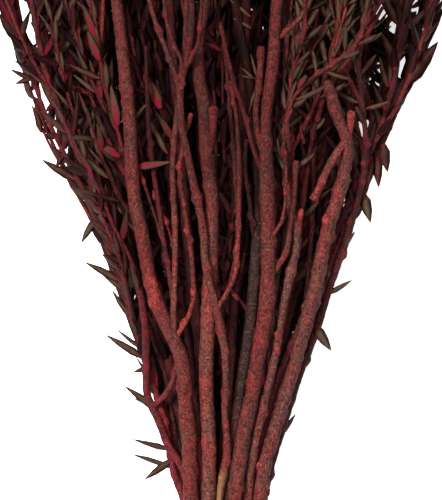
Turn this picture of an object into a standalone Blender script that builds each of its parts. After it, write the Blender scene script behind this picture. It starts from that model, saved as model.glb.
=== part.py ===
"""A bunch of preserved phylica, laid down: cut stems with their twigs and leaves, a plumed flower
head at most tips, and the rubber band that ties the stems.

+Y runs from the cut ends to the tips, +X across the bunch and +Z up from the surface that it lies
on. Lengths below are in millimetres, and MM turns them to metres where an object is made.
"""

import math
import random
from dataclasses import dataclass

import bmesh
import bpy
import numpy as np
from mathutils import Matrix, Vector

MM = 0.001
GAP = 0.3
SEED = 11

# The bunch as a whole: its heights above the lowest cut end, and the half axes of its section.
LEVEL = 4.0
HEIGHTS = np.arange(0.0, 484.0, LEVEL)
HALF_WIDTH = ((0, 22), (85, 18), (130, 28), (200, 54), (300, 86), (400, 102), (480, 104))
HALF_DEPTH = ((0, 12), (85, 10), (130, 16), (200, 28), (300, 43), (400, 52), (480, 54))

# Flower heads, leaves and the tie. HEAD_SWELL gives a head's radius up its length.
HEAD_LENGTH = 40.0
HEAD_SWELL = ((0.0, 2.2), (0.15, 4.8), (0.4, 9.0), (0.68, 12.5), (0.88, 11.0), (1.0, 6.5))
HEAD_LOBES = 5
LEAF_LENGTH = 15.5
LEAF_WIDTH = 3.6
LEAF_THICKNESS = 1.5
LEAF_STEP = 20.0
HIDDEN_LEAF_STEP = 30.0
GOLDEN_ANGLE = math.radians(137.5)
TIE_HEIGHT = 84.0
TIE_TURNS = 3
TIE_TURN_WIDTH = 3.4
TIE_THICKNESS = 1.8
TIE_SIDES = 30
TIE_PLAY = 0.35

# Rods: the spacing of their rings, and the radius from which they have six sides and not four.
ROD_STEP = 18.0
HIDDEN_ROD_STEP = 22.0
TWIG_STEP = 10.0
SIX_SIDED_FROM = 1.35
CREASE = math.radians(50)

BARK = (0.125, 0.04, 0.034)
DARK_BARK = (0.05, 0.023, 0.02)
YOUNG_BARK = (0.16, 0.03, 0.032)
YOUNG_BELOW = 1.65
PLUME = (0.16, 0.016, 0.03)
RUBBER = (0.42, 0.27, 0.14)


@dataclass(frozen=True)
class Axis:
    """The middle line of a stem or of one of its twigs.

    run holds (height, across) points. rise says how deep it lies, from 1 on the bunch's upper
    side to -1 on its underside. foot and tip are its radii. A twig names the stem it grew on,
    and joins it at its own lower end, or at its upper end where joins_high is set.
    """

    name: str
    run: tuple
    foot: float
    tip: float
    rise: float
    leafy_from: float = 999.0
    head: bool = False
    stem: str = ""
    joins_high: bool = False
    dark: bool = False
    hidden: bool = False


# The stems that show on the upper side, from the left fork to the right.
UPPER_STEMS = (
    Axis("stem_01", ((4, -9), (60, -11), (100, -12), (133, -14), (160, -17), (170, -22), (185, -28),
                     (207, -32), (225, -35), (247, -36), (267, -38), (300, -42), (360, -47),
                     (415, -50)), 3.1, 1.1, 0.95, leafy_from=305, head=True),
    Axis("stem_02", ((6, -5), (60, -4), (100, -4), (124, -5), (150, -6), (172, -5), (200, -4),
                     (222, -4), (240, -6), (258, -7), (269, -9), (283, -9), (300, -6), (350, -2),
                     (400, 2)), 3.1, 1.1, 0.85, leafy_from=305, head=True),
    Axis("stem_03", ((2, -1), (60, -2), (100, -3), (119, 1), (134, 1), (150, 2), (157, 2), (169, 0),
                     (181, -3), (193, -6), (207, -7), (218, -9), (232, -12), (254, -16),
                     (266, -16), (280, -13), (300, -12), (350, -18), (395, -24)), 1.7, 1.0, 1.0,
         leafy_from=290, head=True),
    Axis("stem_04", ((10, 4), (60, 3), (100, 3), (119, 5), (144, 8), (172, 12), (200, 14), (224, 15),
                     (260, 12), (300, 6), (350, 4), (410, 2)), 2.4, 1.0, 0.7, leafy_from=250,
         head=True, dark=True),
    Axis("stem_05", ((0, 7), (60, 8), (100, 9), (127, 12), (156, 16), (173, 18), (200, 19), (240, 18),
                     (256, 18), (273, 20), (300, 22), (350, 26), (400, 30), (430, 31)), 3.2, 1.1,
         1.0, leafy_from=310, head=True),
    Axis("stem_06", ((8, 13), (60, 13), (100, 14), (127, 16), (153, 21), (167, 24), (180, 26),
                     (193, 29), (205, 31), (222, 27), (250, 28), (300, 33), (350, 40), (388, 42)),
         1.9, 1.1, 0.85, leafy_from=225, head=True),
    Axis("stem_07", ((3, 17), (60, 16), (100, 16), (120, 20), (140, 26), (161, 32), (185, 38),
                     (213, 44), (225, 48), (244, 50), (251, 47), (264, 43)), 2.9, 2.2, 1.0),
    Axis("stem_08", ((9, 20), (60, 18), (100, 18), (116, 22), (140, 29), (172, 40), (191, 46),
                     (213, 53), (240, 58), (256, 57), (271, 55), (300, 58), (350, 66), (400, 72)),
         1.6, 1.0, 0.9, leafy_from=200, head=True),
    Axis("stem_09", ((5, -13), (60, -13), (100, -14), (112, -17), (120, -22), (131, -26), (140, -30),
                     (153, -30), (172, -30), (184, -32), (196, -36), (209, -43), (225, -50),
                     (240, -58), (264, -68), (300, -76), (350, -84), (400, -88)), 1.6, 1.0, 1.0,
         leafy_from=160, head=True),
    Axis("stem_10", ((7, -17), (60, -18), (100, -19), (109, -22), (128, -25), (151, -31), (164, -34),
                     (183, -39), (199, -44), (225, -56), (249, -68), (264, -74), (297, -85),
                     (350, -93), (385, -94)), 1.5, 0.9, 0.6, leafy_from=140, head=True),
    Axis("stem_11", ((2, 19), (60, 18), (100, 17), (140, 24), (180, 38), (208, 50), (228, 59),
                     (241, 64), (260, 72), (273, 77), (300, 86), (350, 93), (390, 95)), 1.5, 0.9,
         0.5, leafy_from=215, head=True),
    Axis("stem_12", ((5, 14), (60, 15), (100, 15), (140, 21), (180, 36), (210, 48), (240, 60),
                     (256, 66), (273, 70), (300, 74), (350, 80), (440, 80)), 1.4, 0.9, 0.7,
         leafy_from=205, head=True),
    Axis("stem_13", ((3, -8), (100, -9), (150, -16), (200, -30), (250, -42), (265, -46), (290, -50),
                     (350, -60), (425, -66)), 1.5, 1.0, 0.8, leafy_from=190, head=True),
    Axis("stem_14", ((6, 11), (100, 12), (160, 24), (200, 30), (240, 36), (300, 48), (350, 54),
                     (420, 58)), 1.4, 0.9, 0.8, leafy_from=235, head=True),
)

# Twigs, forks and pruned stubs of those stems.
TWIGS = (
    Axis("twig_01a", ((163, -18), (187, -18), (207, -18), (240, -18), (265, -16), (285, -14),
                      (300, -14), (350, -13), (385, -12)), 1.2, 0.8, 0.9, leafy_from=300, head=True,
         stem="stem_01"),
    Axis("twig_01b", ((165, -17), (173, -12), (180, -10), (188, -10), (204, -12), (218, -15),
                      (232, -17), (243, -15), (254, -12)), 0.9, 1.0, 0.9, stem="stem_01"),
    Axis("twig_02a", ((236, -5), (245, -3), (256, -3)), 1.9, 1.9, 1.0, stem="stem_02"),
    Axis("twig_03a", ((178, -2), (188, 4), (200, 6), (218, 7), (232, 7), (250, 6), (266, 4)), 1.0, 0.8,
         0.85, stem="stem_03"),
    Axis("twig_03b", ((264, -16), (275, -20), (287, -25), (300, -29), (335, -34)), 1.0, 0.7, 1.0,
         leafy_from=300, stem="stem_03"),
    Axis("twig_04a", ((201, 14), (217, 12), (231, 10), (243, 10)), 0.9, 0.8, 0.9, stem="stem_04"),
    Axis("twig_05a", ((236, 18), (245, 15), (256, 15), (267, 16), (280, 16)), 1.3, 1.3, 1.0,
         stem="stem_05"),
    Axis("twig_05b", ((283, 21), (287, 28), (291, 32), (298, 36), (315, 42), (340, 46)), 1.0, 0.7,
         1.0, leafy_from=305, stem="stem_05"),
    Axis("twig_05c", ((228, 18), (236, 14), (255, 9), (267, 5), (279, 2), (289, 0)), 0.9, 0.8, 1.0,
         stem="stem_05"),
    Axis("twig_05d", ((189, 19), (193, 22), (198, 25), (209, 27), (223, 29), (235, 30)), 1.2, 1.2,
         0.95, stem="stem_05"),
    Axis("twig_07a", ((244, 50), (250, 52), (255, 52)), 1.6, 1.6, 1.0, stem="stem_07"),
    Axis("twig_07b", ((220, 37), (226, 40), (234, 44), (243, 50)), 1.4, 1.5, 1.0, stem="stem_07",
         joins_high=True),
    Axis("twig_09a", ((137, -29), (141, -25), (149, -21), (160, -19), (180, -20), (210, -24),
                      (240, -28), (280, -30)), 1.1, 0.8, 0.8, leafy_from=205, stem="stem_09"),
    Axis("twig_14a", ((254, 38), (264, 42), (271, 47), (283, 56), (296, 64)), 1.0, 0.7, 1.0,
         leafy_from=260, stem="stem_14"),
)

# The stems behind and beneath: (place across, place in depth, foot radius, tip height).
HIDDEN_STEMS = (
    (-0.86, -0.25, 1.7, 405), (-0.62, -0.70, 2.0, 425), (-0.30, -0.95, 2.3, 400),
    (0.02, -1.0, 2.1, 440), (0.34, -0.95, 2.3, 395), (0.66, -0.70, 2.0, 430),
    (0.88, -0.20, 1.7, 410), (-0.60, 0.10, 2.1, 395), (-0.32, -0.40, 2.4, 440),
    (0.05, -0.45, 2.2, 385), (0.36, -0.40, 2.3, 435), (0.62, 0.10, 2.0, 385),
    (-0.24, 0.25, 2.2, 430), (0.12, 0.20, 2.0, 442),
)

# Leaves that break the outline: stem, height of the base, then the tip's height and place across.
MARKED_LEAVES = (
    ("stem_10", 119, 123, -37), ("stem_10", 111, 118, -36), ("stem_10", 115, 106, -31),
    ("stem_10", 134, 145, -40), ("stem_10", 156, 166, -47), ("stem_10", 187, 196, -55),
    ("stem_10", 213, 203, -57), ("stem_10", 229, 238, -74), ("stem_10", 268, 273, -85),
    ("stem_08", 182, 188, 53), ("stem_08", 172, 160, 46), ("stem_08", 124, 133, 31),
    ("stem_11", 266, 285, 88), ("stem_11", 247, 238, 76),
)


def through(points, at):
    """Read a smooth curve through (height, value) points at some heights, straight past its ends."""
    heights, values = np.array(points, dtype=float).T
    slopes = np.gradient(values, heights)
    span = np.clip(np.searchsorted(heights, at) - 1, 0, len(heights) - 2)
    width = heights[span + 1] - heights[span]
    t = np.clip((at - heights[span]) / width, 0, 1)
    first = values[span] * (1 + 2 * t) * (1 - t) ** 2 + values[span + 1] * t * t * (3 - 2 * t)
    second = width * (slopes[span] * t * (1 - t) ** 2 - slopes[span + 1] * t * t * (1 - t))
    beyond = slopes[-1] * np.maximum(at - heights[-1], 0)
    before = slopes[0] * np.minimum(at - heights[0], 0)
    return first + second + beyond + before


def hidden_axis(number, across, depth, foot, top):
    """A stem that keeps its place in the bunch's widening section, from its cut end to its tip."""
    start = 2 + (number * 5) % 11
    heights = np.array((start, 50, 85, 130, 200, 300, top), dtype=float)
    run = tuple(zip(heights, across * through(HALF_WIDTH, heights)))
    return Axis(f"stem_{number:02d}", run, foot, 1.0, depth, leafy_from=185 + 30 * abs(depth),
                head=True, hidden=True)


def all_axes():
    """Every stem, then every twig."""
    hidden = [hidden_axis(len(UPPER_STEMS) + 1 + i, *place) for i, place in enumerate(HIDDEN_STEMS)]
    return list(UPPER_STEMS) + hidden + list(TWIGS)


class Layout:
    """Where every axis runs once gravity and its neighbours have had their say.

    x and z hold each axis's place at each of the HEIGHTS, r its radius there (its flower head's
    past the tip) and alive where it exists. Each round PULLs an axis to its home and SQUEEZEs it
    towards MIDDLE, the tie's own height over the surface, until the last SETTLING rounds only
    push apart what lies closer than ROOM. FIRM is how far an upper stem gives way for a hidden
    one's 1.
    """

    ROUNDS = 420
    SETTLING = 160
    UNSMOOTHED = 12
    PULL = 0.03
    SQUEEZE = 0.06
    MIDDLE = 9.0
    ROOM = 1.6 * GAP
    PUSH = 0.55
    FIRM = 0.35
    FORK = 16.0

    def __init__(self, axes):
        self.axes = axes
        self.index = {axis.name: i for i, axis in enumerate(axes)}
        self.home_x = np.array([through(axis.run, HEIGHTS) for axis in axes])
        half_width = through(HALF_WIDTH, HEIGHTS)
        half_depth = through(HALF_DEPTH, HEIGHTS)
        rise = np.array([axis.rise for axis in axes])[:, None]
        rim = np.sqrt(1 - np.clip(self.home_x / half_width, -0.95, 0.95) ** 2)
        self.home_z = half_depth * (1 + rise * rim)
        self.r = np.array([self.radii(axis) for axis in axes])
        low = np.array([axis.run[0][0] for axis in axes])[:, None]
        reach = np.array([axis.run[-1][0] + HEAD_LENGTH * axis.head for axis in axes])[:, None]
        self.alive = (HEIGHTS >= low - 0.5 * LEVEL) & (HEIGHTS <= reach + 0.5 * LEVEL)
        self.floor = np.array([self.rests(axis, r) for axis, r in zip(axes, self.r)])
        self.x = self.home_x.copy()
        self.z = self.home_z.copy()
        self.pair_up()
        self.settle()

    @staticmethod
    def radii(axis):
        """The stem's radius at each height, and its head's beyond the tip."""
        low, tip = axis.run[0][0], axis.run[-1][0]
        share = np.clip((HEIGHTS - low) / (tip - low), 0, 1)
        wood = axis.tip + (axis.foot - axis.tip) * (1 - share**3)
        if not axis.head:
            return wood
        swell = np.interp((HEIGHTS - tip) / HEAD_LENGTH, *np.array(HEAD_SWELL).T)
        return np.where(HEIGHTS > tip - LEVEL, np.maximum(wood, swell), wood)

    @staticmethod
    def rests(axis, radii):
        """How high the axis must lie, so that neither the wood, the band nor a head sinks."""
        band = (TIE_THICKNESS + 3 * GAP) * np.exp(-(((HEIGHTS - TIE_HEIGHT) / 22) ** 2))
        rest = radii + band
        if not axis.head:
            return rest
        widest = max(radius for _, radius in HEAD_SWELL)
        lift = widest * np.clip(1 + (HEIGHTS - axis.run[-1][0]) / HEAD_LENGTH, 0, 1)
        return np.maximum(rest, lift)

    def pair_up(self):
        """List the pairs of axes that must clear each other, and how soon a twig leaves its stem."""
        first, second = np.triu_indices(len(self.axes), 1)
        both = self.alive[first] & self.alive[second]
        ease = both.astype(float)
        for pair, (i, j) in enumerate(zip(first, second)):
            twig = self.axes[j]
            if twig.stem == self.axes[i].name:
                ease[pair] *= np.clip(np.abs(HEIGHTS - self.joint(twig)) / self.FORK - 0.2, 0, 1)
        self.first, self.second, self.ease = first, second, ease
        firm = np.where(np.arange(len(self.axes)) < len(UPPER_STEMS), self.FIRM, 1.0)
        self.share = (firm[first] / (firm[first] + firm[second]))[:, None]

    @staticmethod
    def joint(twig):
        """The height at which a twig leaves its stem."""
        return twig.run[-1][0] if twig.joins_high else twig.run[0][0]

    def slant(self):
        """How much a tilted stem's section grows at a level."""
        across = np.gradient(self.x, LEVEL, axis=1)
        up = np.gradient(self.z, LEVEL, axis=1)
        return np.sqrt(1 + across**2 + up**2)

    def settle(self):
        """Pull each axis to its place, squeeze the tie, and push apart what overlaps."""
        near_tie = np.exp(-(((HEIGHTS - TIE_HEIGHT) / 30) ** 2))
        for step in range(self.ROUNDS):
            free = step > self.ROUNDS - self.SETTLING
            if not free:
                self.x += self.PULL * (self.home_x - self.x)
                self.z += self.PULL * (self.home_z - self.z)
                self.x -= 0.3 * self.SQUEEZE * near_tie * self.x
                self.z -= self.SQUEEZE * near_tie * (self.z - self.MIDDLE)
            if step % 10 == 0:
                section = self.r * self.slant()
            self.push(section)
            if step < self.ROUNDS - self.UNSMOOTHED:
                self.smooth(0.12 if free else 0.25)
            self.hold_twigs()
            self.z = np.maximum(self.z, np.maximum(section, self.floor))

    def push(self, section):
        """Move each overlapping pair apart along the line between the two."""
        i, j = self.first, self.second
        dx = self.x[i] - self.x[j]
        dz = self.z[i] - self.z[j]
        distance = np.sqrt(dx * dx + dz * dz) + 1e-6
        need = (section[i] + section[j] + self.ROOM) * self.ease
        push = self.PUSH * np.maximum(need - distance, 0) / distance
        for place, delta in ((self.x, dx), (self.z, dz)):
            np.add.at(place, i, push * delta * self.share)
            np.subtract.at(place, j, push * delta * (1 - self.share))

    def smooth(self, amount):
        """Share each axis's displacement with its neighbours along the axis."""
        inner = self.alive[:, 1:-1] & self.alive[:, :-2] & self.alive[:, 2:]
        for place, home in ((self.x, self.home_x), (self.z, self.home_z)):
            shift = place - home
            bend = shift[:, :-2] - 2 * shift[:, 1:-1] + shift[:, 2:]
            place[:, 1:-1] += amount * np.where(inner, bend, 0)

    def hold_twigs(self):
        """Put each twig's root on its stem's middle line, and ease the next levels after it."""
        for i, twig in enumerate(self.axes):
            if not twig.stem:
                continue
            root = self.index[twig.stem]
            levels = np.flatnonzero(self.alive[i])
            order = levels[::-1] if twig.joins_high else levels
            for place in (self.x, self.z):
                miss = place[root, order[0]] - place[i, order[0]]
                for count, level in enumerate(order[:4]):
                    place[i, level] += miss * (1 - count / 4)

    def point(self, i, height):
        """The axis's place at a height, as (x, height, z)."""
        return Vector((np.interp(height, HEIGHTS, self.x[i]), height,
                       np.interp(height, HEIGHTS, self.z[i])))

    def heading(self, i, height):
        """The axis's direction of growth at a height."""
        return (self.point(i, height + LEVEL) - self.point(i, height - LEVEL)).normalized()

    def radius(self, i, height):
        """The axis's radius at a height."""
        return float(np.interp(height, HEIGHTS, self.r[i]))


class Clearance:
    """Keeps a leaf clear of the surface below and of every other node."""

    def __init__(self, layout):
        self.layout = layout
        self.owner = np.array([axis.stem or axis.name for axis in layout.axes])
        self.leaf_points = np.zeros((0, 4))
        self.leaf_owner = np.zeros(0, dtype="U12")

    def allows(self, owner, samples):
        """Whether (x, y, z, reach) samples of a leaf clear the stems, heads and leaves of others."""
        layout = self.layout
        others = (self.owner != owner)[:, None] & layout.alive
        theirs = self.leaf_points[self.leaf_owner != owner]
        own = self.leaf_points[self.leaf_owner == owner]
        for x, y, z, reach in samples:
            if z < LEAF_THICKNESS:
                return False
            away = np.sqrt((layout.x - x) ** 2 + (HEIGHTS - y) ** 2 + (layout.z - z) ** 2)
            sagging = np.sqrt(np.maximum(away**2 - 4.0, 0))
            if np.any(others & (sagging - layout.r < reach + GAP)):
                return False
            for points, spare in ((theirs, GAP), (own, -0.5)):
                apart = np.sqrt(((points[:, :3] - (x, y, z)) ** 2).sum(axis=1))
                if np.any(apart < points[:, 3] + reach + spare):
                    return False
        return True

    def add(self, owner, samples):
        """Remember a placed leaf, so that later ones keep clear of it."""
        self.leaf_points = np.vstack([self.leaf_points, samples])
        self.leaf_owner = np.append(self.leaf_owner, [owner] * len(samples))


def leaf_samples(base, tip, width):
    """Points down a leaf's middle, each with how far the leaf reaches from it."""
    shares = ((0.3, 0.42), (0.5, 0.5), (0.72, 0.42), (0.95, 0.2))
    return [(*base.lerp(tip, share), width * reach) for share, reach in shares]


def choose_leaves(layout, clearance):
    """Place the leaves: the marked ones first, then spirals up every leafy axis."""
    leaves = {}
    for name, base_height, tip_height, across in MARKED_LEAVES:
        i = layout.index[name]
        base = layout.point(i, base_height)
        tip = Vector((across, tip_height, base.z + 2))
        samples = leaf_samples(base, tip, LEAF_WIDTH)
        if clearance.allows(name, samples[1:]):
            clearance.add(name, samples)
            leaves.setdefault(name, []).append((base, tip, Vector((0, 0, 1))))
    rng = random.Random(SEED)
    for i, axis in enumerate(layout.axes):
        owner = axis.stem or axis.name
        top = axis.run[-1][0]
        turn = rng.uniform(0, math.tau)
        height = max(axis.leafy_from, axis.run[0][0] + 8)
        while height < top - 4:
            length = LEAF_LENGTH * rng.uniform(0.85, 1.15)
            spread = math.radians(rng.uniform(28, 48))
            for _ in range(6):
                base = layout.point(i, height)
                along = layout.heading(i, height)
                side = along.orthogonal().normalized()
                side.rotate(Matrix.Rotation(turn, 3, along))
                direction = along * math.cos(spread) + side * math.sin(spread)
                tip = base + direction * (length + layout.radius(i, height))
                samples = leaf_samples(base, tip, LEAF_WIDTH)
                turn += GOLDEN_ANGLE
                if clearance.allows(owner, samples):
                    clearance.add(owner, samples)
                    leaves.setdefault(owner, []).append((base, tip, side))
                    break
            height += HIDDEN_LEAF_STEP if axis.hidden else LEAF_STEP
    return leaves


def material(name, colour, roughness):
    """A plain Principled material."""
    made = bpy.data.materials.new(name)
    made.use_nodes = True
    shader = made.node_tree.nodes["Principled BSDF"]
    shader.inputs["Base Color"].default_value = (*colour, 1)
    shader.inputs["Roughness"].default_value = roughness
    return made


def collection(name, hidden=False):
    """A new collection in the scene."""
    made = bpy.data.collections.new(name)
    bpy.context.scene.collection.children.link(made)
    made.hide_render = hidden
    return made


def mesh_from_curve(name, points, radii, bevel_resolution):
    """A round rod along points, with its own radius at each, as a closed mesh."""
    curve = bpy.data.curves.new(name, "CURVE")
    curve.dimensions = "3D"
    curve.bevel_depth = MM
    curve.bevel_resolution = bevel_resolution
    curve.use_fill_caps = True
    spline = curve.splines.new("POLY")
    spline.points.add(len(points) - 1)
    for spot, point, radius in zip(spline.points, points, radii):
        spot.co = (*(Vector(point) * MM), 1)
        spot.radius = radius
    rod = bpy.data.objects.new(name, curve)
    bpy.context.scene.collection.objects.link(rod)
    depsgraph = bpy.context.evaluated_depsgraph_get()
    mesh = bpy.data.meshes.new_from_object(rod.evaluated_get(depsgraph))
    bpy.data.objects.remove(rod)
    bpy.data.curves.remove(curve)
    bm = bmesh.new()
    bm.from_mesh(mesh)
    bmesh.ops.remove_doubles(bm, verts=bm.verts, dist=0.001 * MM)
    bmesh.ops.recalc_face_normals(bm, faces=bm.faces)
    bm.to_mesh(mesh)
    bm.free()
    mesh.shade_smooth()
    mesh.set_sharp_from_angle(angle=CREASE)
    return mesh


def axis_mesh(layout, i, step):
    """One stem or twig as a rod, from its cut end or root to its tip."""
    axis = layout.axes[i]
    low, top = axis.run[0][0], axis.run[-1][0]
    if axis.stem:
        held = HEIGHTS[layout.alive[i]]
        low, top = (low, held[-1]) if axis.joins_high else (held[0], top)
    count = max(2, round((top - low) / step))
    heights = [low + (top - low) * k / count for k in range(count + 1)]
    points = [layout.point(i, height) for height in heights]
    radii = [axis.tip + (axis.foot - axis.tip) * (1 - (k / count) ** 3) for k in range(count + 1)]
    if not axis.head and not axis.joins_high:
        points.append(points[-1] + layout.heading(i, top - LEVEL) * 0.5 * axis.tip)
        radii.append(0.62 * axis.tip)
    plain = axis.hidden or axis.foot < SIX_SIDED_FROM
    return mesh_from_curve(axis.name, points, radii, 0 if plain else 1)


def add_leaf(bm, base, tip, side):
    """A leaf as a flat spindle, narrower towards its tip, whose lower end is inside the twig."""
    along = (tip - base).normalized()
    across = along.cross(side).normalized()
    thick = across.cross(along)
    scale = Matrix.Diagonal((LEAF_WIDTH / 2, LEAF_THICKNESS / 2, (tip - base).length / 2, 1))
    turn = Matrix((across, thick, along)).transposed().to_4x4()
    place = Matrix.Translation((base + tip) / 2) @ turn @ scale
    blade = bmesh.ops.create_uvsphere(bm, u_segments=4, v_segments=3, radius=1)["verts"]
    for vert in blade:
        if 0 < vert.co.z < 0.9:
            vert.co.xy *= 0.72
    bmesh.ops.transform(bm, matrix=Matrix.Scale(MM, 4) @ place, verts=blade)


def make_growth(name, mesh, wood, cutters, parent):
    """A twig, or a stem's leaves, as an object that a Boolean joins to the stem."""
    growth = bpy.data.objects.new(name, mesh)
    growth.data.materials.append(wood)
    growth.parent = parent
    growth.hide_render = True
    growth.display_type = "WIRE"
    cutters.objects.link(growth)
    return growth


def leaves_mesh(name, leaves):
    """All of a stem's leaves as one mesh."""
    bm = bmesh.new()
    for leaf in leaves:
        add_leaf(bm, *leaf)
    mesh = bpy.data.meshes.new(name)
    bm.to_mesh(mesh)
    bm.free()
    return mesh


def make_stem(layout, axis, leaves, wood, parts, cutters, parent):
    """A cut stem as one solid: its rod, with its twigs and leaves joined on by Booleans."""
    step = HIDDEN_ROD_STEP if axis.hidden else ROD_STEP
    stem = bpy.data.objects.new(axis.name, axis_mesh(layout, layout.index[axis.name], step))
    stem.data.materials.append(wood)
    stem.parent = parent
    parts.objects.link(stem)
    grown = [(other.name, axis_mesh(layout, i, TWIG_STEP))
             for i, other in enumerate(layout.axes) if other.stem == axis.name]
    if leaves:
        grown.append((f"{axis.name}_leaves", leaves_mesh(f"{axis.name}_leaves", leaves)))
    for name, mesh in grown:
        join = stem.modifiers.new(name, "BOOLEAN")
        join.operation = "UNION"
        join.solver = "EXACT"
        join.use_self = name.endswith("leaves")
        join.object = make_growth(name, mesh, wood, cutters, parent)
    return stem


def make_head(layout, i, number, plume, parts, parent):
    """A plumed flower head as one ribbed, closed tuft, seated on its stem's tip."""
    axis = layout.axes[i]
    top = axis.run[-1][0]
    start = layout.point(i, top)
    end = layout.point(i, min(top + HEAD_LENGTH, HEIGHTS[-1]))
    along = (end - start).normalized()
    turn = along.to_track_quat("Z", "Y").to_matrix().to_4x4()
    bm = bmesh.new()
    bmesh.ops.create_uvsphere(bm, u_segments=2 * HEAD_LOBES, v_segments=5, radius=1)
    for vert in bm.verts:
        share = 0.5 + 0.5 * vert.co.z
        ring = math.hypot(vert.co.x, vert.co.y)
        furrow = round(math.atan2(vert.co.y, vert.co.x) * HEAD_LOBES / math.pi) % 2
        wide = float(np.interp(share, *np.array(HEAD_SWELL).T)) * (0.66 if furrow else 0.93)
        if ring > 1e-4:
            vert.co.x *= wide / ring
            vert.co.y *= wide / ring
        vert.co.z = GAP + share * (HEAD_LENGTH - 1)
    bm.transform(Matrix.Scale(MM, 4) @ Matrix.Translation(start) @ turn)
    head = bpy.data.objects.new(f"flower_head_{number:02d}", bpy.data.meshes.new(f"head_{number:02d}"))
    bm.to_mesh(head.data)
    bm.free()
    head.data.materials.append(plume)
    head.parent = parent
    parts.objects.link(head)
    return head


def hull(points):
    """The convex outline round flat points, anticlockwise."""
    ordered = sorted(set(points))
    sides = []
    for run in (ordered, ordered[::-1]):
        side = []
        for point in run:
            while len(side) > 1 and cross(side[-2], side[-1], point) <= 0:
                side.pop()
            side.append(point)
        sides += side[:-1]
    return sides


def cross(a, b, c):
    """Twice the area of the triangle abc, positive where it turns left."""
    return (b[0] - a[0]) * (c[1] - a[1]) - (b[1] - a[1]) * (c[0] - a[0])


def tie_outline(layout):
    """The line that the band's inner side follows: round all the stems, a gap away from them."""
    half = 0.5 * TIE_TURNS * TIE_TURN_WIDTH
    points = []
    for i, axis in enumerate(layout.axes):
        if axis.run[0][0] > TIE_HEIGHT:
            continue
        for height in (TIE_HEIGHT - half - 1, TIE_HEIGHT, TIE_HEIGHT + half + 1):
            middle = layout.point(i, height)
            reach = layout.radius(i, height) + GAP
            for k in range(20):
                angle = math.tau * k / 20
                points.append((round(middle.x + reach * math.cos(angle), 4),
                               round(middle.z + reach * math.sin(angle), 4)))
    corners = hull(points)
    lengths = [math.dist(a, b) for a, b in zip(corners, corners[1:] + corners[:1])]
    whole = sum(lengths)
    spaced = []
    for k in range(TIE_SIDES):
        along = whole * k / TIE_SIDES
        for corner, length, following in zip(corners, lengths, corners[1:] + corners[:1]):
            if along <= length:
                t = along / length
                spaced.append(Vector((corner[0] + t * (following[0] - corner[0]),
                                      corner[1] + t * (following[1] - corner[1]))))
                break
            along -= length
    return spaced


def tie_section():
    """The band's section as (outward, along) points: flat inside, a ridge for each turn outside."""
    half = 0.5 * TIE_TURNS * TIE_TURN_WIDTH
    inside = TIE_PLAY
    valley = inside + 0.55 * TIE_THICKNESS
    ridge = inside + TIE_THICKNESS
    section = [(inside, -half), (inside, half)]
    for turn in range(TIE_TURNS):
        edge = half - turn * TIE_TURN_WIDTH
        section.append((valley, edge - 0.12 * TIE_TURN_WIDTH))
        section.append((ridge, edge - 0.5 * TIE_TURN_WIDTH))
    section.append((valley, -half + 0.12 * TIE_TURN_WIDTH))
    return section


def make_tie(layout, rubber, parts, parent):
    """The rubber band: its turns side by side, as one ridged loop lofted round the stems."""
    inner = tie_outline(layout)
    section = tie_section()
    bm = bmesh.new()
    rings = []
    for k, spot in enumerate(inner):
        tangent = (inner[(k + 1) % len(inner)] - inner[k - 1]).normalized()
        outward = Vector((tangent.y, -tangent.x))
        ring = []
        for out, along in section:
            place = spot + outward * out
            ring.append(bm.verts.new(Vector((place.x, TIE_HEIGHT + along, place.y)) * MM))
        rings.append(ring)
    for ring, following in zip(rings, rings[1:] + rings[:1]):
        for a in range(len(section)):
            b = (a + 1) % len(section)
            bm.faces.new((ring[a], ring[b], following[b], following[a]))
    bmesh.ops.recalc_face_normals(bm, faces=bm.faces)
    band = bpy.data.objects.new("tie_band", bpy.data.meshes.new("tie_band"))
    bm.to_mesh(band.data)
    bm.free()
    band.data.materials.append(rubber)
    band.parent = parent
    parts.objects.link(band)
    return band


def centre_on_surface(root, objects):
    """Move the whole bunch so that the middle of its box's underside is at the origin."""
    bpy.context.view_layer.update()
    depsgraph = bpy.context.evaluated_depsgraph_get()
    low = Vector((math.inf,) * 3)
    high = Vector((-math.inf,) * 3)
    for made in objects:
        for corner in made.evaluated_get(depsgraph).bound_box:
            spot = made.matrix_world @ Vector(corner)
            low = Vector(map(min, low, spot))
            high = Vector(map(max, high, spot))
    root.location = (-(low.x + high.x) / 2, -(low.y + high.y) / 2, -low.z)


def main():
    """Build the whole bunch."""
    for old in list(bpy.data.objects):
        bpy.data.objects.remove(old)
    parts = collection("phylica_bunch")
    cutters = collection("joined_growth", hidden=True)
    root = bpy.data.objects.new("bunch", None)
    parts.objects.link(root)

    layout = Layout(all_axes())
    leaves = choose_leaves(layout, Clearance(layout))
    made = []
    for axis in layout.axes:
        if axis.stem:
            continue
        colour = DARK_BARK if axis.dark else YOUNG_BARK if axis.foot < YOUNG_BELOW else BARK
        wood = material(axis.name, colour, 0.7)
        made.append(make_stem(layout, axis, leaves.get(axis.name, []), wood, parts, cutters, root))
    headed = [i for i, axis in enumerate(layout.axes) if axis.head]
    for number, i in enumerate(headed, start=1):
        plume = material(f"flower_head_{number:02d}", PLUME, 0.9)
        made.append(make_head(layout, i, number, plume, parts, root))
    made.append(make_tie(layout, material("tie_band", RUBBER, 0.5), parts, root))
    centre_on_surface(root, made)


main()
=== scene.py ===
"""A bunch of preserved phylica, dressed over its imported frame.

The bunch lies on a pale floor: cut stems with dyed bark, rolled leaves, plumed flower heads and a
rubber band. +Y runs from the cut ends to the tips, +X across the bunch and +Z up from the floor.
Lengths are millimetres until a mesh is made, and heights are measured from the lowest cut end.
"""

import logging
import math
from collections.abc import Iterator
from dataclasses import astuple, dataclass, field, fields
from enum import Enum

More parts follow.
